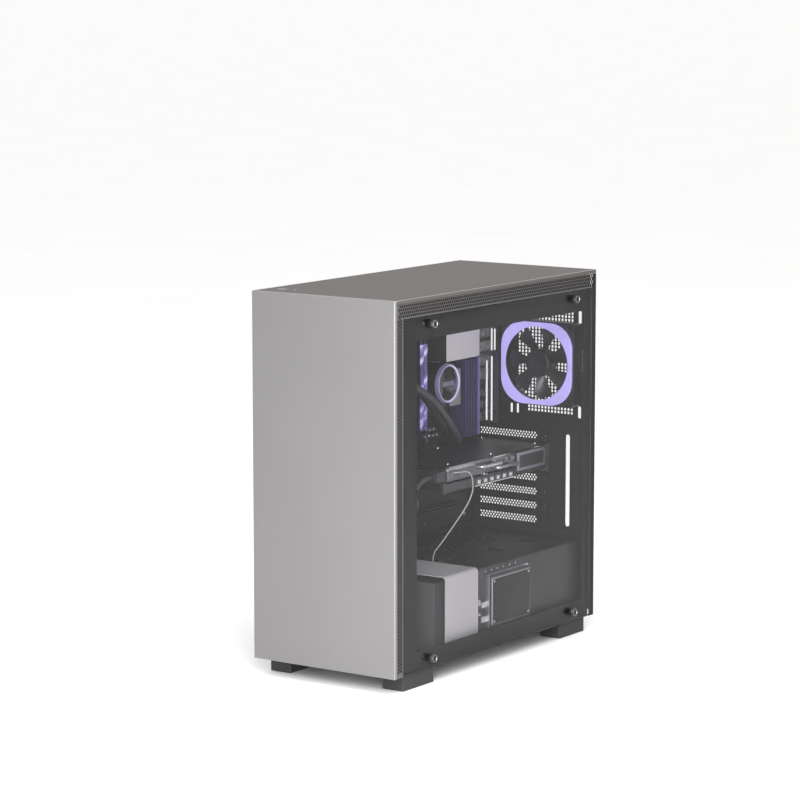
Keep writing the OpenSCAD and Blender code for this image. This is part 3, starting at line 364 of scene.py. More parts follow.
class Shape:
    """Gathers solids drawn in case millimetres and makes one piece of them."""

    def __init__(self):
        self.bm = bmesh.new()

    def take(self, part, mat):
        """Adds a finished solid, with one material slot for all its faces."""
        bmesh.ops.recalc_face_normals(part, faces=part.faces)
        for face in part.faces:
            face.material_index = mat
        mesh = bpy.data.meshes.new("part")
        part.to_mesh(mesh)
        part.free()
        self.bm.from_mesh(mesh)
        bpy.data.meshes.remove(mesh)

    def box(self, x, d, h, edge=0.3, mat=0):
        """A box with rounded edges."""
        part = bmesh.new()
        bmesh.ops.create_cube(part, size=1)
        size = (x[1] - x[0], d[1] - d[0], h[1] - h[0])
        middle = Vector(((x[0] + x[1]) / 2, (d[0] + d[1]) / 2, (h[0] + h[1]) / 2))
        bmesh.ops.scale(part, vec=size, verts=part.verts)
        edge = min(edge, min(size) * MOST_OF_HALF)
        bmesh.ops.bevel(part, geom=part.edges[:], offset=edge, segments=2, affect="EDGES", profile=0.5)
        bmesh.ops.translate(part, vec=middle, verts=part.verts)
        self.take(part, mat)

    def lathe(self, profile, centre, axis="x", sides=32, mat=0, closed=False, wobble=None):
        """Turns (t, r) points about an axis through centre; wobble(angle, t) adds to the radius."""
        part = bmesh.new()
        rings = []
        for t, r in profile:
            ring = []
            if r <= 1e-6:
                ring.append(part.verts.new(self._lathe_point(centre, axis, t, 0, 0)))
            else:
                for k in range(sides):
                    angle = 2 * math.pi * k / sides
                    rr = r + (wobble(angle, t) if wobble else 0)
                    ring.append(part.verts.new(self._lathe_point(
                        centre, axis, t, rr * math.cos(angle), rr * math.sin(angle))))
            rings.append(ring)
        pairs = list(zip(rings, rings[1:]))
        if closed:
            pairs.append((rings[-1], rings[0]))
        for low, high in pairs:
            for k in range(sides):
                n = (k + 1) % sides
                if len(low) == 1 and len(high) == 1:
                    continue
                if len(low) == 1:
                    part.faces.new((low[0], high[k], high[n]))
                elif len(high) == 1:
                    part.faces.new((low[k], high[0], low[n]))
                else:
                    part.faces.new((low[k], high[k], high[n], low[n]))
        self.take(part, mat)

    @staticmethod
    def _lathe_point(centre, axis, t, a, b):
        offset = AXES[axis](t, a, b)
        return tuple(c + o for c, o in zip(centre, offset))

    def prism(self, points, axis, t0, t1, edge=0.2, mat=0):
        """Extrudes a closed outline of (a, b) points along an axis, with softened edges."""
        part = bmesh.new()
        face = part.faces.new([part.verts.new(AXES[axis](t0, a, b)) for a, b in points])
        grown = bmesh.ops.extrude_face_region(part, geom=[face])
        moved = [g for g in grown["geom"] if isinstance(g, bmesh.types.BMVert)]
        bmesh.ops.translate(part, vec=AXES[axis](t1 - t0, 0, 0), verts=moved)
        rims = [e for e in part.edges
                if abs(self._along(e.verts[0], axis) - self._along(e.verts[1], axis)) < 1e-6]
        bmesh.ops.bevel(part, geom=rims, offset=edge, segments=2, affect="EDGES", profile=0.5)
        self.take(part, mat)

    @staticmethod
    def _along(vert, axis):
        return vert.co["xdh".index(axis)]

    def tube(self, points, r, sides=10, mat=0):
        """A round bar along a smooth line through the points."""
        line = smooth_line(points, 5)
        part = bmesh.new()
        rings = []
        for ring in line_rings(line, r, sides):
            rings.append([part.verts.new(p) for p in ring])
        for low, high in zip(rings, rings[1:]):
            for k in range(sides):
                n = (k + 1) % sides
                part.faces.new((low[k], low[n], high[n], high[k]))
        part.faces.new(rings[0][::-1])
        part.faces.new(rings[-1])
        self.take(part, mat)

    def rotor(self, centre, axis, span, hub_r, tip_r, blades, cover, sweep, lean, start):
        """Blades as thin cambered sheets, twisted less towards the tip.

        cover is the angle that a blade takes up and sweep how far its tip trails, both in degrees.
        """
        low, high = span
        radial, chord = 8, 8                                  # cells along and across a blade
        thick = 1.1
        camber = 1.6
        for k in range(blades):
            part = bmesh.new()
            sheets = []
            for side in (-1, 1):
                grid = []
                for i in range(radial + 1):
                    t = i / radial
                    r = hub_r - 1 + (tip_r - hub_r + 1) * t
                    middle = start + 360 / blades * k + sweep * t ** 1.4
                    reach = (high - low) / 2 * (1 - 0.3 * t) - thick
                    row = []
                    for j in range(chord + 1):
                        s = 2 * j / chord - 1
                        half = cover / 2 * (0.82 + 0.18 * t)
                        trim = 1 - 0.06 * abs(s) ** 3 * t
                        angle = math.radians(middle + s * half)
                        rise = lean * s * reach + (1 - s * s) * camber
                        body = thick / 2 * (1 - 0.6 * s * s)
                        a = r * trim * math.cos(angle)
                        b = r * trim * math.sin(angle)
                        p = AXES[axis]((low + high) / 2 + rise + side * body - 0.8, a, b)
                        row.append(part.verts.new(tuple(c + q for c, q in zip(centre, p))))
                    grid.append(row)
                sheets.append(grid)
            for grid in sheets:
                for i in range(radial):
                    for j in range(chord):
                        part.faces.new((grid[i][j], grid[i + 1][j], grid[i + 1][j + 1], grid[i][j + 1]))
            low_sheet, high_sheet = sheets
            rim = [(i, 0) for i in range(radial + 1)]
            rim += [(radial, j) for j in range(1, chord + 1)]
            rim += [(i, chord) for i in range(radial - 1, -1, -1)]
            rim += [(0, j) for j in range(chord - 1, 0, -1)]
            for (i, j), (m, n) in zip(rim, rim[1:] + rim[:1]):
                part.faces.new((low_sheet[i][j], low_sheet[m][n], high_sheet[m][n], high_sheet[i][j]))
            self.take(part, 0)

    def done(self, name, body, mats, replaces=()):
        """Puts the shape into the scene as one piece that rides on a body."""
        mesh = bpy.data.meshes.new(name)
        for vert in self.bm.verts:
            vert.co = at(*vert.co)
        for face in self.bm.faces:
            face.smooth = True
        self.bm.to_mesh(mesh)
        self.bm.free()
        mesh.set_sharp_from_angle(angle=SHARP_ANGLE)
        for mat in mats:
            mesh.materials.append(mat)
        piece = bpy.data.objects.new(name, mesh)
        bpy.context.scene.collection.objects.link(piece)
        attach(piece, body)
        if replaces:
            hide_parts(*replaces)
        return piece


def smooth_line(points, steps):
    """A line through the points with rounded corners (Catmull-Rom)."""
    pts = [Vector(p) for p in points]
    pts = [pts[0] * 2 - pts[1]] + pts + [pts[-1] * 2 - pts[-2]]
    line = []
    for i in range(1, len(pts) - 2):
        p0, p1, p2, p3 = pts[i - 1:i + 3]
        for s in range(steps):
            t = s / steps
            line.append(0.5 * ((2 * p1) + (p2 - p0) * t + (2 * p0 - 5 * p1 + 4 * p2 - p3) * t * t
                               + (3 * p1 - p0 - 3 * p2 + p3) * t ** 3))
    line.append(pts[-2])
    return line


def line_rings(line, r, sides):
    """Rings of points round a line, turned as little as the line allows."""
    side = None
    for i, p in enumerate(line):
        ahead = (line[min(i + 1, len(line) - 1)] - line[max(i - 1, 0)]).normalized()
        if side is None:
            side = ahead.orthogonal().normalized()
        side = (side - ahead * side.dot(ahead)).normalized()
        other = ahead.cross(side)
        yield [p + (side * math.cos(2 * math.pi * k / sides) + other * math.sin(2 * math.pi * k / sides)) * r
               for k in range(sides)]


def round_outline(a, b, r, steps):
    """A rounded rectangle as (a, b) points."""
    points = []
    for ca, cb, start in ((a[1] - r, b[1] - r, 0), (a[0] + r, b[1] - r, 90), (a[0] + r, b[0] + r, 180),
                          (a[1] - r, b[0] + r, 270)):
        for k in range(steps + 1):
            angle = math.radians(start + 90 * k / steps)
            points.append((ca + r * math.cos(angle), cb + r * math.sin(angle)))
    return points


# ------------------------------------------------------------------ hoses and cables
SUPPLY_ROUTE = [
    (-56, 343, 306), (-56, 343, 294), (-50, 341, 282), (-38, 334, 273), (-24, 320, 270), (-12, 302, 276),
    (-4, 283, 289), (1, 263, 306), (4, 241, 325), (5, 216, 344), (5, 188, 360), (4, 158, 371), (2, 128, 377),
    (0, 104, 380), (0, 90, 380),
]
RETURN_ROUTE = [
    (-56, 362, 306), (-56, 362, 295), (-48, 360, 281), (-34, 354, 268), (-17, 341, 261), (-2, 322, 263),
    (9, 300, 273), (17, 277, 289), (22, 252, 308), (25, 225, 328), (27, 195, 346), (27, 163, 360),
    (27, 130, 371), (26, 105, 378), (26, 90, 380),
]
PLUG_ROUTE = [
    (30, 204, 229), (30, 197, 229), (29, 186, 226), (26, 176, 217), (20, 171, 204), (10, 171, 188),
    (-3, 174, 172), (-16, 181, 156), (-25, 192, 141), (-28, 206, 128), (-28, 220, 119), (-28, 230, 112),
    (-28, 235, 105),
]
INDICATOR_ROUTE = [
    (38, 252, 231), (44, 257.5, 231), (46, 266, 231), (47, 274, 229), (48, 280, 223), (48, 283, 215),
    (47, 285, 208), (46, 285.5, 201), (44, 284, 193), (42, 281, 185), (39, 274, 174.5), (36, 265, 164),
    (32.5, 254, 152), (29, 243, 140), (25.5, 235.5, 131), (22, 229.5, 123), (20, 228, 115), (20, 228.5, 104),
]


def free_cord(name, route, diameter, mat, node, length):
    curve = bpy.data.curves.new(name, "CURVE")
    curve.dimensions = "3D"
    curve.bevel_depth = diameter / 2
    curve.bevel_resolution = 4
    curve.use_fill_caps = True
    line = smooth_line(route, 4)
    spline = curve.splines.new("POLY")
    spline.points.add(len(line) - 1)
    for point, place in zip(spline.points, line):
        point.co = (*at(*place), 1)
    spline.use_smooth = True
    curve.materials.append(mat)
    piece = bpy.data.objects.new(name, curve)
    bpy.context.scene.collection.objects.link(piece)
    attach(piece, "chassis")
    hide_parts(node)
    at(*route[0])
    return piece


def route_length(route):
    line = smooth_line(route, 4)
    return sum((b - a).length for a, b in zip(line, line[1:])) * MM


plug = Shape()
plug.box((20, 40), (207, 225.9), (222, 236), 0.8)
plug.box((21.5, 38.5), (204, 207.5), (223.5, 234.5), 0.6)
plug.box((27, 33), (209, 223), (236, 237.2), 0.4)
for k in range(3):
    plug.box((19.6, 40.4), (211 + 4 * k, 212.2 + 4 * k), (221.6, 236.4), 0.3)
plug_piece = plug.done("graphics_plug", "chassis", [black_plastic], ["gpu_power_plug"])

free_cord("coolant_hose_supply", SUPPLY_ROUTE, 0.011, hose_rubber, "coolant_tube_supply",
          route_length(SUPPLY_ROUTE))
free_cord("coolant_hose_return", RETURN_ROUTE, 0.011, hose_rubber, "coolant_tube_return",
          route_length(RETURN_ROUTE))
free_cord("graphics_power_lead", PLUG_ROUTE, 0.008, cable_black, "gpu_power_cable",
          route_length(PLUG_ROUTE))
free_cord("indicator_lead", INDICATOR_ROUTE, 0.002, cable_grey, "indicator_cable",
          route_length(INDICATOR_ROUTE))

# ------------------------------------------------------------------ CAD pieces that stay
LOOKS = {
    satin_front: ["front_panel", "power_button"],
    satin_top_painted_shade: ["top_panel"],
    satin_side: ["side_panel"],
    frame_grey_with_painted_shade: ["side_frame"],
    dark_steel: ["base_pan", "rear_panel", "slot_covers", "psu_case"],
    inner_dark: ["inner_frame", "motherboard_tray"],
    shroud_grey_shaded_top: ["psu_shroud"],
    cage_grey: ["drive_cage"],
    memory_shell_violet_cast: ["memory_sticks"],
    pale_cover: ["shroud_front_cover"],
    io_cover_paint_with_painted_shade: ["io_cover"],
    bright_metal: ["side_panel_screws", "machine_screws", "io_shield", "gpu_bracket",
                   "ssd_bracket"],
    glass: ["glass_panel"],
    black_print: ["glass_border"],
    black_plastic: ["reset_button", "board_slots", "dust_filter", "psu_inlet", "psu_switch", "gpu_shroud",
                    "ssd"],
    rubber: ["feet"],
    gloss_black: ["pump_housing"],
    black_metal: ["gpu_backplate", "radiator", "io_ports"],
    fin_metal: ["gpu_heatsink"],
    violet_painted_glow_metal: ["vrm_heatsink"],
    solder_mask: ["motherboard", "gpu_board"],
    fan_black: ["rear_fan_frame", "front_fan_frames"],
    ring_glow: ["rear_fan_light_ring"],
    bar_glow_painted_glints: ["memory_light_bars"],
}
for mat, names in LOOKS.items():
    for name in names:
        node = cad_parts[name]
        if not node.material_slots:
            node.data.materials.append(mat)
        for place in node.material_slots:
            place.material = mat

EDGES = {                                                     # radius of the softened edges
    "front_panel": 0.7, "top_panel": 0.8, "side_panel": 0.3, "glass_panel": 0.5, "shroud_front_cover": 0.3,
    "io_cover": 0.6, "gpu_shroud": 0.35, "gpu_backplate": 0.25, "feet": 0.9, "ssd": 0.5, "ssd_bracket": 0.25,
    "drive_cage": 0.25, "psu_switch": 0.5, "psu_inlet": 0.4, "memory_sticks": 0.3, "memory_light_bars": 0.4,
    "vrm_heatsink": 0.4, "io_ports": 0.25, "board_slots": 0.25, "radiator": 0.6,
    "rear_fan_frame": 0.4, "front_fan_frames": 0.4, "rear_fan_light_ring": 0.9, "power_button": 0.5,
    "reset_button": 0.2, "pump_housing": 0.6,
}
for name, width in EDGES.items():
    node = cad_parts[name]
    weld = node.modifiers.new("weld", "WELD")
    weld.merge_threshold = 0.02 * MM
    flat = node.modifiers.new("flat", "DECIMATE")             # one face per flat side, or the bevel folds
    flat.decimate_type = "DISSOLVE"
    flat.angle_limit = math.radians(0.6)
    soft = node.modifiers.new("edges", "BEVEL")
    soft.width = width * MM
    soft.segments = 2
    soft.limit_method = "ANGLE"
    soft.angle_limit = math.radians(50)
    soft.use_clamp_overlap = True
    soft.harden_normals = False
    # the front and top panels' bevels get the brighter edge material, a painted highlight line
    if name in ("front_panel", "top_panel"):
        node.data.materials.append(top_edge_painted_highlight if name == "top_panel" else front_edge_painted_highlight)
        soft.material = len(node.material_slots) - 1

# ------------------------------------------------------------------ thumbscrews
SCREW_SEAT = 115.3                                            # along x: the glass face,
SCREW_DISC = 119.5                                            # the end of the knurled neck
SCREW_FACE = 124.0                                            # and the outer face
KNURL_TEETH = 24
SCREW_PLACES = {
    "front_lower": (80, 15), "front_upper": (80, 458), "rear_lower": (431.5, 15), "rear_upper": (431.5, 458),
}


def knurl(angle, t):
    """Height of the teeth round the neck."""
    return 0.32 * math.cos(KNURL_TEETH * angle) if SCREW_SEAT + 0.9 < t < SCREW_DISC - 0.5 else 0


def thumbscrew(name, d, h):
    """A knurled neck under a bright ring with a cross-shaped recess."""
    shape = Shape()
    neck_part, rim_part, dish_part = range(3)
    body = [(SCREW_SEAT - 12, 0), (SCREW_SEAT - 12, 1.6), (SCREW_SEAT - 11.4, 2), (SCREW_SEAT, 2),
            (SCREW_SEAT, 4.7), (SCREW_SEAT + 0.8, 4.95), (SCREW_SEAT + 1, 5), (SCREW_SEAT + 1.4, 5),
            (SCREW_DISC - 1, 5), (SCREW_DISC - 0.6, 4.95), (SCREW_DISC - 0.1, 4.8), (SCREW_DISC, 4.5),
            (SCREW_DISC, 0)]
    shape.lathe(body, (0, d, h), "x", 4 * KNURL_TEETH, neck_part, wobble=knurl)
    rim = [(SCREW_DISC - 0.2, 4), (SCREW_DISC - 0.2, 4.9), (SCREW_DISC + 0.2, 5.2), (SCREW_FACE - 0.4, 5.2),
           (SCREW_FACE, 4.85), (SCREW_FACE, 4.5), (SCREW_FACE - 0.7, 4.1), (SCREW_FACE - 0.9, 4)]
    shape.lathe(rim, (0, d, h), "x", 48, rim_part, closed=True)
    cross_recess(shape, "x", SCREW_DISC, SCREW_FACE - 0.7, (d, h), r=4.25, arm=3.0, half=0.62, depth=0.9,
                 mat=dish_part)
    shape.done(f"thumbscrew_{name}_piece", f"thumbscrew_{name}",
               [black_metal, screw_metal, dish_metal], [f"thumbscrew_{name}"])


def cross_recess(shape, axis, t0, t1, centre, r, arm, half, depth, mat):
    """A round disc from t0 to t1 of radius r whose face carries a cross-shaped recess.

    arm is the cross's reach, half its arms' half width and depth how deep it is cut.
    """
    part = bmesh.new()
    sides = 40
    ca, cb = centre
    turn = math.radians(33)

    def vert(t, a, b):
        return part.verts.new(AXES[axis](t, ca + a * math.cos(turn) - b * math.sin(turn),
                                         cb + a * math.sin(turn) + b * math.cos(turn)))

    cross = [(half, half), (half, arm), (-half, arm), (-half, half), (-arm, half), (-arm, -half),
             (-half, -half), (-half, -arm), (half, -arm), (half, -half), (arm, -half), (arm, half)]
    rings = []
    for t, ring_r in ((t0, r), (t1 - 0.35, r), (t1 - 0.1, r - 0.12), (t1, r - 0.35)):
        angles = [2 * math.pi * k / sides for k in range(sides)]
        rings.append([vert(t, ring_r * math.cos(angle), ring_r * math.sin(angle)) for angle in angles])
    top = [vert(t1, a, b) for a, b in cross]
    taper = 0.8                                               # the recess narrows towards its floor
    floor = [vert(t1 - depth, a * taper, b * taper) for a, b in cross]
    for low, high in zip(rings, rings[1:]):
        for k in range(sides):
            n = (k + 1) % sides
            part.faces.new((low[k], low[n], high[n], high[k]))
    for k in range(len(cross)):
        n = (k + 1) % len(cross)
        part.faces.new((top[k], top[n], floor[n], floor[k]))
    rim = rings[-1]
    loops = [part.edges.get((rim[k], rim[(k + 1) % sides])) for k in range(sides)]
    loops += [part.edges.get((top[k], top[(k + 1) % len(top)])) for k in range(len(top))]
    bmesh.ops.triangle_fill(part, use_beauty=True, edges=loops)
    part.faces.new(rings[0])
    part.faces.new(floor)
    shape.take(part, mat)


for name, (d, h) in SCREW_PLACES.items():
    thumbscrew(name, d, h)


# ------------------------------------------------------------------ fans
def fan_piece(name, body, node, centre, axis, span, hub_r, tip_r, blades, cover, sweep, lean=1, start=0):
    """A rotor with a rounded hub, whose plain cap is at the low end of its span."""
    shape = Shape()
    low, high = span
    shape.rotor(centre, axis, (low + 0.8, high - 0.8), hub_r, tip_r, blades, cover, sweep, lean, start)
    cup = [(low, hub_r - 3), (low, hub_r - 0.4), (low + 0.5, hub_r), (high - 1.8, hub_r),
           (high - 0.6, hub_r - 0.6), (high, hub_r - 1.8), (high, hub_r * 0.62), (high - 0.4, hub_r * 0.58),
           (high - 0.4, 0)]
    inside = [(high - 2.6, 0), (high - 2.6, hub_r - 3)]
    shape.lathe([(low + high - t, r) for t, r in cup + inside], centre, axis, 48, 0)
    shape.done(name, body, [fan_black], [node])


REAR_FAN = (37, 0, 358.5)
FRONT_FAN_X = 10
FRONT_FANS = {"lower": 206, "upper": 327}
CARD_FANS = {"front": 282, "rear": 400}
fan_piece("rear_fan_blades", "rear_fan_rotor", "rear_fan_rotor", REAR_FAN, "d", (463.0, 481.2),
          hub_r=20, tip_r=50.5, blades=7, cover=33, sweep=4, lean=0.55, start=17.7)
for place, h in FRONT_FANS.items():
    fan_piece(f"front_fan_blades_{place}", f"front_fan_rotor_{place}", f"front_fan_rotor_{place}",
              (FRONT_FAN_X, 0, h), "d", (28.5, 47.7), hub_r=20, tip_r=54, blades=9, cover=30, sweep=16)
for place, d in CARD_FANS.items():
    fan_piece(f"graphics_fan_blades_{place}", f"gpu_fan_{place}", f"gpu_fan_{place}",
              (-12, d, 0), "h", (207.6, 217.4), hub_r=15, tip_r=43, blades=9, cover=32, sweep=16)
fan_piece("supply_fan_blades", "psu_fan_rotor", "psu_fan_rotor", (-12, 414.2, 0), "h", (8.3, 25.8),
          hub_r=20, tip_r=57, blades=9, cover=30, sweep=16)

# ------------------------------------------------------------------ cooler head
pump = Shape()
PUMP = (0, 347, 337)
PUMP_D, PUMP_H = PUMP[1:]
PUMP_BOLT = 25                                                # from the head's middle to a bolt, each way
GLOSS, DISPLAY, STEEL, PLASTIC, BRACKET = range(5)
pump.lathe([(-36.4, 0), (-36.1, 23.2), (-35.8, 23.9), (-35.5, 23.9), (-35.3, 23.4), (-35.2, 0)],
           PUMP, "x", 72, GLOSS)
pump.box((-35.3, -34.9), (PUMP_D - 15, PUMP_D + 13), (PUMP_H - 3.4, PUMP_H + 3.4), 0.15, DISPLAY)
pump.box((-52, -50), (373, 400), (300, 352), 0.9, BRACKET)
for h in (PUMP_H - PUMP_BOLT, PUMP_H + PUMP_BOLT):
    for d in (PUMP_D - PUMP_BOLT, PUMP_D + PUMP_BOLT):
        pump.lathe([(-80, 0), (-80, 3.2), (-70, 3.2), (-69.2, 2.6), (-69.2, 0)], (0, d, h), "x", 20, STEEL)
        pump.box((-80, -78), (min(d, PUMP_D), max(d, PUMP_D)), (h - 3, h + 3), 0.4, STEEL)
for d in (SUPPLY_ROUTE[0][1], RETURN_ROUTE[0][1]):            # collars where the hoses leave the head
    pump.lathe([(318, 4.4), (318, 6.6), (317.4, 7), (303.6, 7), (303, 6.6), (303, 4.4)], (-56, d, 0), "h", 24,
               PLASTIC, closed=True)
pump.done("cooler_head_face", "chassis",
          [gloss_black, bar_grey, bright_metal, black_plastic, pale_cover])

ring = Shape()
RING_RIM, RING_LIT = range(2)
ring.lathe([(-39.9, 26.2), (-39.9, 28), (-36.6, 28), (-35.2, 27.3), (-34.2, 26.7), (-33.8, 26.3)],
           PUMP, "x", 72, RING_RIM)
ring.lathe([(-33.8, 26.3), (-33.9, 25.3), (-34.6, 24.7), (-39.9, 24.7), (-39.9, 26.2)],
           PUMP, "x", 72, RING_LIT)
ring.done("cooler_ring", "chassis", [pump_rim, pump_glow], ["pump_light_ring"])

# ------------------------------------------------------------------ board parts
rng = random.Random(7)
BOARD = -83.68                                                # the board's face, along x
board = Shape()
PLASTIC, COIL, STEEL, SPREADER, GOLD = range(5)
COIL_PITCH = 13
for i in range(6):
    d = 402 - COIL_PITCH * i
    board.box((BOARD, BOARD + 7), (d - 10, d), (415, 424.5), 0.8, COIL)
for i in range(4):
    h = 366 - COIL_PITCH * i
    board.box((BOARD, BOARD + 7), (390, 399.5), (h - 10, h), 0.8, COIL)
for i in range(9):
    column, row = i % 5, i // 5
    board.lathe([(BOARD, 0), (BOARD, 3.1), (BOARD + 7.4, 3.1), (BOARD + 8, 2.7), (BOARD + 8, 0)],
                (0, 380 - 9 * column, 266 - 9 * row), "x", 20, STEEL)
for i in range(40):                                           # small chips over the open board
    d = rng.uniform(244, 456)
    h = rng.uniform(128, 262)
    w = rng.choice((1.6, 2.4, 3.2, 5))
    top = BOARD + rng.uniform(0.5, 1.2)
    tall = w * rng.choice((0.6, 1, 1.6))
    board.box((BOARD, top), (d, d + w), (h, h + tall), 0.12, rng.choice((PLASTIC, PLASTIC, STEEL)))
for i in range(22):                                           # and beside the memory
    d = rng.uniform(244, 276)
    h = rng.uniform(268, 420)
    w = rng.choice((1.6, 2.4, 3.2))
    board.box((BOARD, BOARD + 0.9), (d, d + w), (h, h + w), 0.12, rng.choice((PLASTIC, STEEL)))
board.box((BOARD, BOARD + 6), (262, 300), (150, 188), 1.6, SPREADER)
for k in range(5):                                            # ribs of the heat spreader
    board.box((BOARD + 6, BOARD + 6.8), (266 + 6.6 * k, 268.4 + 6.6 * k), (153, 185), 0.3, SPREADER)
board.box((BOARD, BOARD + 12), (238.2, 250), (330.5, 381.5), 0.8, PLASTIC)   # main supply socket
for k in range(12):
    for j in range(2):
        board.box((BOARD + 12, BOARD + 12.3), (240 + 5 * j, 243.4 + 5 * j), (332.6 + 4 * k, 335.4 + 4 * k),
                  0.1, GOLD)
board.box((BOARD + 0.1, BOARD + 1.4), (320, 376), (308, 366), 0.5, STEEL)      # processor frame
board.lathe([(BOARD, 0), (BOARD, 10), (BOARD + 3.2, 10), (BOARD + 3.6, 9.4), (BOARD + 3.6, 0)],
            (0, 330, 162), "x", 32, STEEL)                    # clock battery
board.done("board_parts", "chassis",
           [black_plastic, black_metal, bright_metal, dark_steel, gold_pin])

latches = Shape()
MEMORY_PITCH = 9.5
for i in range(4):
    d = 279.5 + i * MEMORY_PITCH
    for h in (268.2, 409.8):
        latches.box((BOARD, BOARD + 11), (d - 2.6, d + 2.6), (h - 2.2, h + 2.2), 0.7)
latches.done("memory_latches", "chassis", [black_plastic])

# ------------------------------------------------------------------ graphics card
card = Shape()
PIPE, PLATE, BAR, CAGE, PLASTIC, PALE = range(6)
CARD_SIDE = 41.8                                              # the side towards the glass, along x
CARD_TOP = 242
SOCKET_PITCH = 16
DRIVER_PITCH = 15.5
for d0, d1, h in ((312, 362, 231), (352, 402, 224.5)):        # polished sleeves on the side pipes
    card.tube([(45.5, d0 + 6, h), (45.5, (d0 + d1) / 2, h), (45.5, d1 - 6, h)], 3.06, 20, PIPE)
card.box((CARD_SIDE, 43.4), (404, 477), (212, 238), 0.6, BAR)     # side plate at the bracket end
card.box((43.2, 43.7), (409, 472), (216, 234), 0.3, PLASTIC)
card.box((36.5, 43), (218.5, 225.6), (205, 220), 0.8, PLASTIC)
for k in range(6):                                            # lead sockets along the lower edge
    d = 300 + SOCKET_PITCH * k
    card.box((CARD_SIDE, 44.2), (d, d + 11), (207, 215.4), 0.5, CAGE)
    card.box((44, 44.5), (d + 2, d + 9), (209, 213.4), 0.2, PLATE)
card.box((41.7, 42.5), (298, 396), (205.2, 206.4), 0.3, PALE)     # lower edge drawn as a glowing pale strip: a painted highlight
for k in range(7):                                            # drivers along the glass side
    d = 352 + DRIVER_PITCH * k
    card.box((26, 35), (d, d + 9.5), (226.5, 236.8), 0.8, PLATE)
    card.box((28, 33), (d + 2, d + 7.5), (225.6, 226.8), 0.3, PIPE)
for k in range(9):                                            # and their capacitors
    card.lathe([(231, 0), (231, 2.3), (236.8, 2.3), (237.4, 2), (237.4, 0)], (24, 350 + 12 * k, 0), "h", 16,
               PIPE)
for d in (248, 470, 356):                                     # backplate screws
    for x in (-60, 30):
        cross_recess(card, "h", CARD_TOP - 0.5, CARD_TOP + 0.7, (x, d), r=2.3, arm=1.5, half=0.35,
                     depth=0.4, mat=PIPE)
card.box((34.5, 36.4), (352, 478), (237.2, 240.0), 0.3, PIPE)     # bright rail on the free edge
card.box((33, 36.6), (244, 340), (238.0, 239.4), 0.3, PLATE)
card.done("graphics_card_parts", "chassis",
          [pipe_metal, plate_grey, bar_grey, cage_grey, black_plastic, painted_edge_glow])

# ------------------------------------------------------------------ shroud and drive details
trim = Shape()
RIM, PALE = range(2)
SHROUD_TOP = 109
# dark rims round the shroud's cut-outs, in the frame paint: its painted shade covers all but their sideways
# faces
for x, d in (((28, 58), (250, 262)), ((28, 58), (340, 352)), ((30, 60), (420, 432)), ((-40, 26), (224, 239))):
    outline = ((x[0], d[0]), (x[1], d[0]), (x[1], d[1]), (x[0], d[1]))
    for (x0, d0), (x1, d1) in zip(outline, outline[1:] + outline[:1]):
        trim.box((min(x0, x1) - 0.5, max(x0, x1) + 0.5), (min(d0, d1) - 0.5, max(d0, d1) + 0.5),
                 (SHROUD_TOP - 1.4, SHROUD_TOP + 0.5), 0.2, RIM)
for h in ((58, 66), (44, 47)):                                # tabs behind the drive's front edge
    trim.box((98.6, 101), (220.5, 223.4), h, 0.3, PALE)
for k in range(6):                                            # rivets over the drive
    trim.lathe([(99.8, 0), (99.8, 1.2), (100.5, 1.2), (100.9, 0.8), (100.9, 0)], (0, 236 + 15 * k, 103), "x",
               16, PALE)
trim.done("shroud_trim", "chassis", [frame_grey_with_painted_shade, pale_cover])

drive = Shape()
FACE, STEEL, PALE = range(3)
drive.box((107.9, 108.2), (243, 335), (30, 92), 0.12, FACE)
for d in (246, 332):
    for h in (33, 89):
        cross_recess(drive, "x", 107.6, 108.8, (d, h), r=1.8, arm=1.1, half=0.3, depth=0.4, mat=STEEL)
drive.box((107.7, 108.6), (240.2, 242), (29, 93), 0.3, PALE)
drive.box((107.7, 108.4), (242, 336), (92.2, 93.2), 0.2, PALE)
drive.done("drive_face", "chassis", [inner_dark, bright_metal, pale_cover])

# ------------------------------------------------------------------ rear sockets
sockets = Shape()
PLASTIC, GOLD, FIRST_RING, STEEL = 0, 1, 2, 5                 # three ring colours from FIRST_RING on
PORT_ROWS = (326, 346, 366, 386, 405)
for h in PORT_ROWS:
    for x in ((-81.5, -74.5), (-72.5, -66)):
        mid_x = (x[0] + x[1]) / 2
        sockets.box((mid_x - 1, mid_x + 1), (480.5, 487), (h + 3.2, h + 11.8), 0.2, PLASTIC)
        for k in range(4):
            sockets.box((mid_x + 1, mid_x + 1.2), (481.5, 486.5), (h + 4 + 2 * k, h + 5 + 2 * k), 0.05, GOLD)
for k, h in enumerate((273, 290, 307)):                       # rings of the round sound sockets
    sockets.lathe([(486.6, 1.8), (486.6, 3.1), (487.2, 3.1), (487.5, 2.8), (487.5, 1.8)], (-72, 0, h), "d",
                  28, FIRST_RING + k, closed=True)
for x in (17, 24, 31):                                        # blades of the mains socket
    sockets.box((x - 1.1, x + 1.1), (474, 486.4), (63.8, 68.7), 0.3, STEEL)
ring_colours = [
    surface("socket_ring_green", (0.10, 0.30, 0.12), 0.4),
    surface("socket_ring_blue", (0.12, 0.22, 0.42), 0.4),
    surface("socket_ring_pink", (0.45, 0.16, 0.2), 0.4),
]
sockets.done("rear_socket_parts", "chassis",
             [black_plastic, gold_pin, *ring_colours, bright_metal])

corner = Shape()
PAD_REACH = 54.5                                              # from a fan's middle to its corner pads
for middle_h in FRONT_FANS.values():
    for side in (-1, 1):
        for end in (-1, 1):
            cx, ch = FRONT_FAN_X + side * PAD_REACH, middle_h + end * PAD_REACH
            corner.prism(round_outline((cx - 5, cx + 5), (ch - 5, ch + 5), 2.4, 4), "d", 25.4, 26.6, 0.25)
corner.done("fan_corner_pads", "chassis", [rubber])

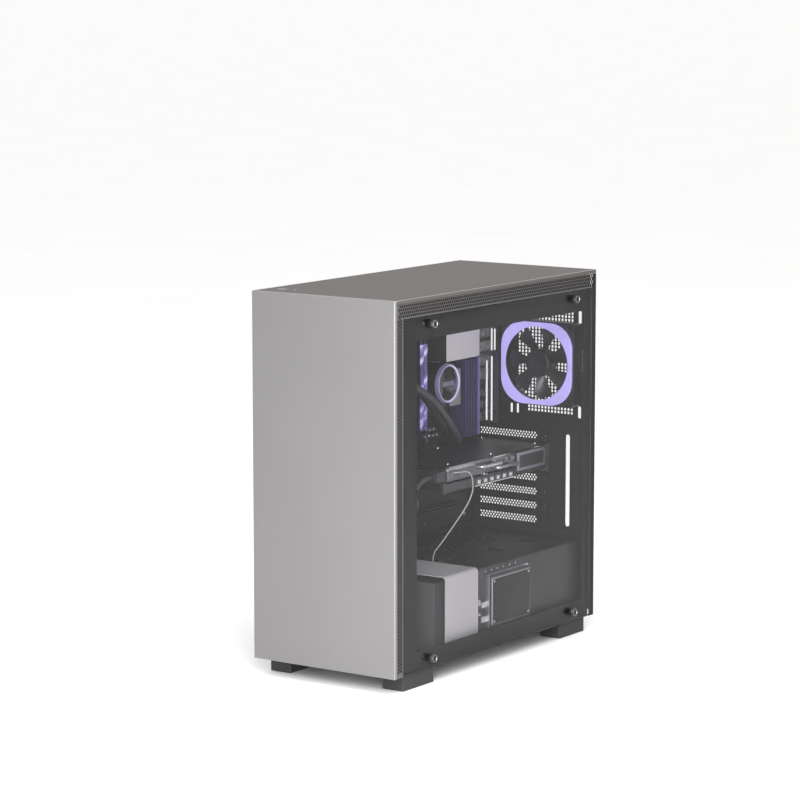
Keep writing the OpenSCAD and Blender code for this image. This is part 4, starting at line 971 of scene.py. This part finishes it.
pads = Shape()
for x in ((-107, -77), (77, 107)):
    for d in ((32, 96), (418, 476)):
        pads.prism(round_outline(x, d, 4, 5), "h", -FOOT_H, 1.4 - FOOT_H, 0.5)
pads.done("foot_pads", "chassis", [rubber])

rim = Shape()                                                 # thin pale strip round the glass opening: a painted highlight line
RIM_X, RIM_EDGE, RIM_TOP = (114.5, 115.12), 0.15, 470
rim.box(RIM_X, (18.9, 19.5), (0.6, RIM_TOP), RIM_EDGE)
rim.box(RIM_X, (18.9, 482.9), (RIM_TOP - 0.6, RIM_TOP), RIM_EDGE)
rim.box(RIM_X, (482.4, 483), (0.6, RIM_TOP), RIM_EDGE)
rim.done("opening_highlight_line", "chassis", [opening_highlight_grey])

# ------------------------------------------------------------------ floor and light
floor_mesh = bpy.data.meshes.new("floor")
FLOOR_HALF = 300
floor_mesh.from_pydata(
    [(-FLOOR_HALF, -FLOOR_HALF, 0), (FLOOR_HALF, -FLOOR_HALF, 0), (FLOOR_HALF, FLOOR_HALF, 0),
     (-FLOOR_HALF, FLOOR_HALF, 0)], [], [(0, 1, 2, 3)])
floor = bpy.data.objects.new("floor", floor_mesh)
bpy.context.scene.collection.objects.link(floor)
floor_mesh.materials.append(surface("pale_floor", (0.9, 0.9, 0.9), 0.6, 0, 0.01, 3, 300, 0.02, 0.00002))

world = bpy.data.worlds.new("studio")
bpy.context.scene.world = world
world.use_nodes = True
sky = world.node_tree
background = sky.nodes["Background"]
background.inputs["Color"].default_value = (1, 0.995, 0.99, 1)
background.inputs["Strength"].default_value = 1.06


def softbox(name, place, target, size, power):
    """A white rectangular lamp that looks from place towards target."""
    light = bpy.data.lights.new(name, "AREA")
    light.shape = "RECTANGLE"
    light.size, light.size_y = size
    light.energy = power
    lamp = bpy.data.objects.new(name, light)
    lamp.location = place
    lamp.rotation_euler = (Vector(target) - Vector(place)).to_track_quat("-Z", "Y").to_euler()
    bpy.context.scene.collection.objects.link(lamp)


softbox("front_right_light", (0.62, -1.0, 0.42), (0.1, -0.25, 0.27), (0.5, 0.9), 20)
softbox("overhead_light", (1.2, -0.6, 3.2), (0, 0, 0.2), (2.5, 2.5), 50)

spill = bpy.data.lights.new("memory_spill", "POINT")          # what the memory's light bars throw about
spill.energy = 0.02
spill.color = (0.45, 0.36, 1.0)
spill.shadow_soft_size = 0.02
spill_lamp = bpy.data.objects.new("memory_spill", spill)
spill_lamp.location = at(-25, 298, 340)
bpy.context.scene.collection.objects.link(spill_lamp)
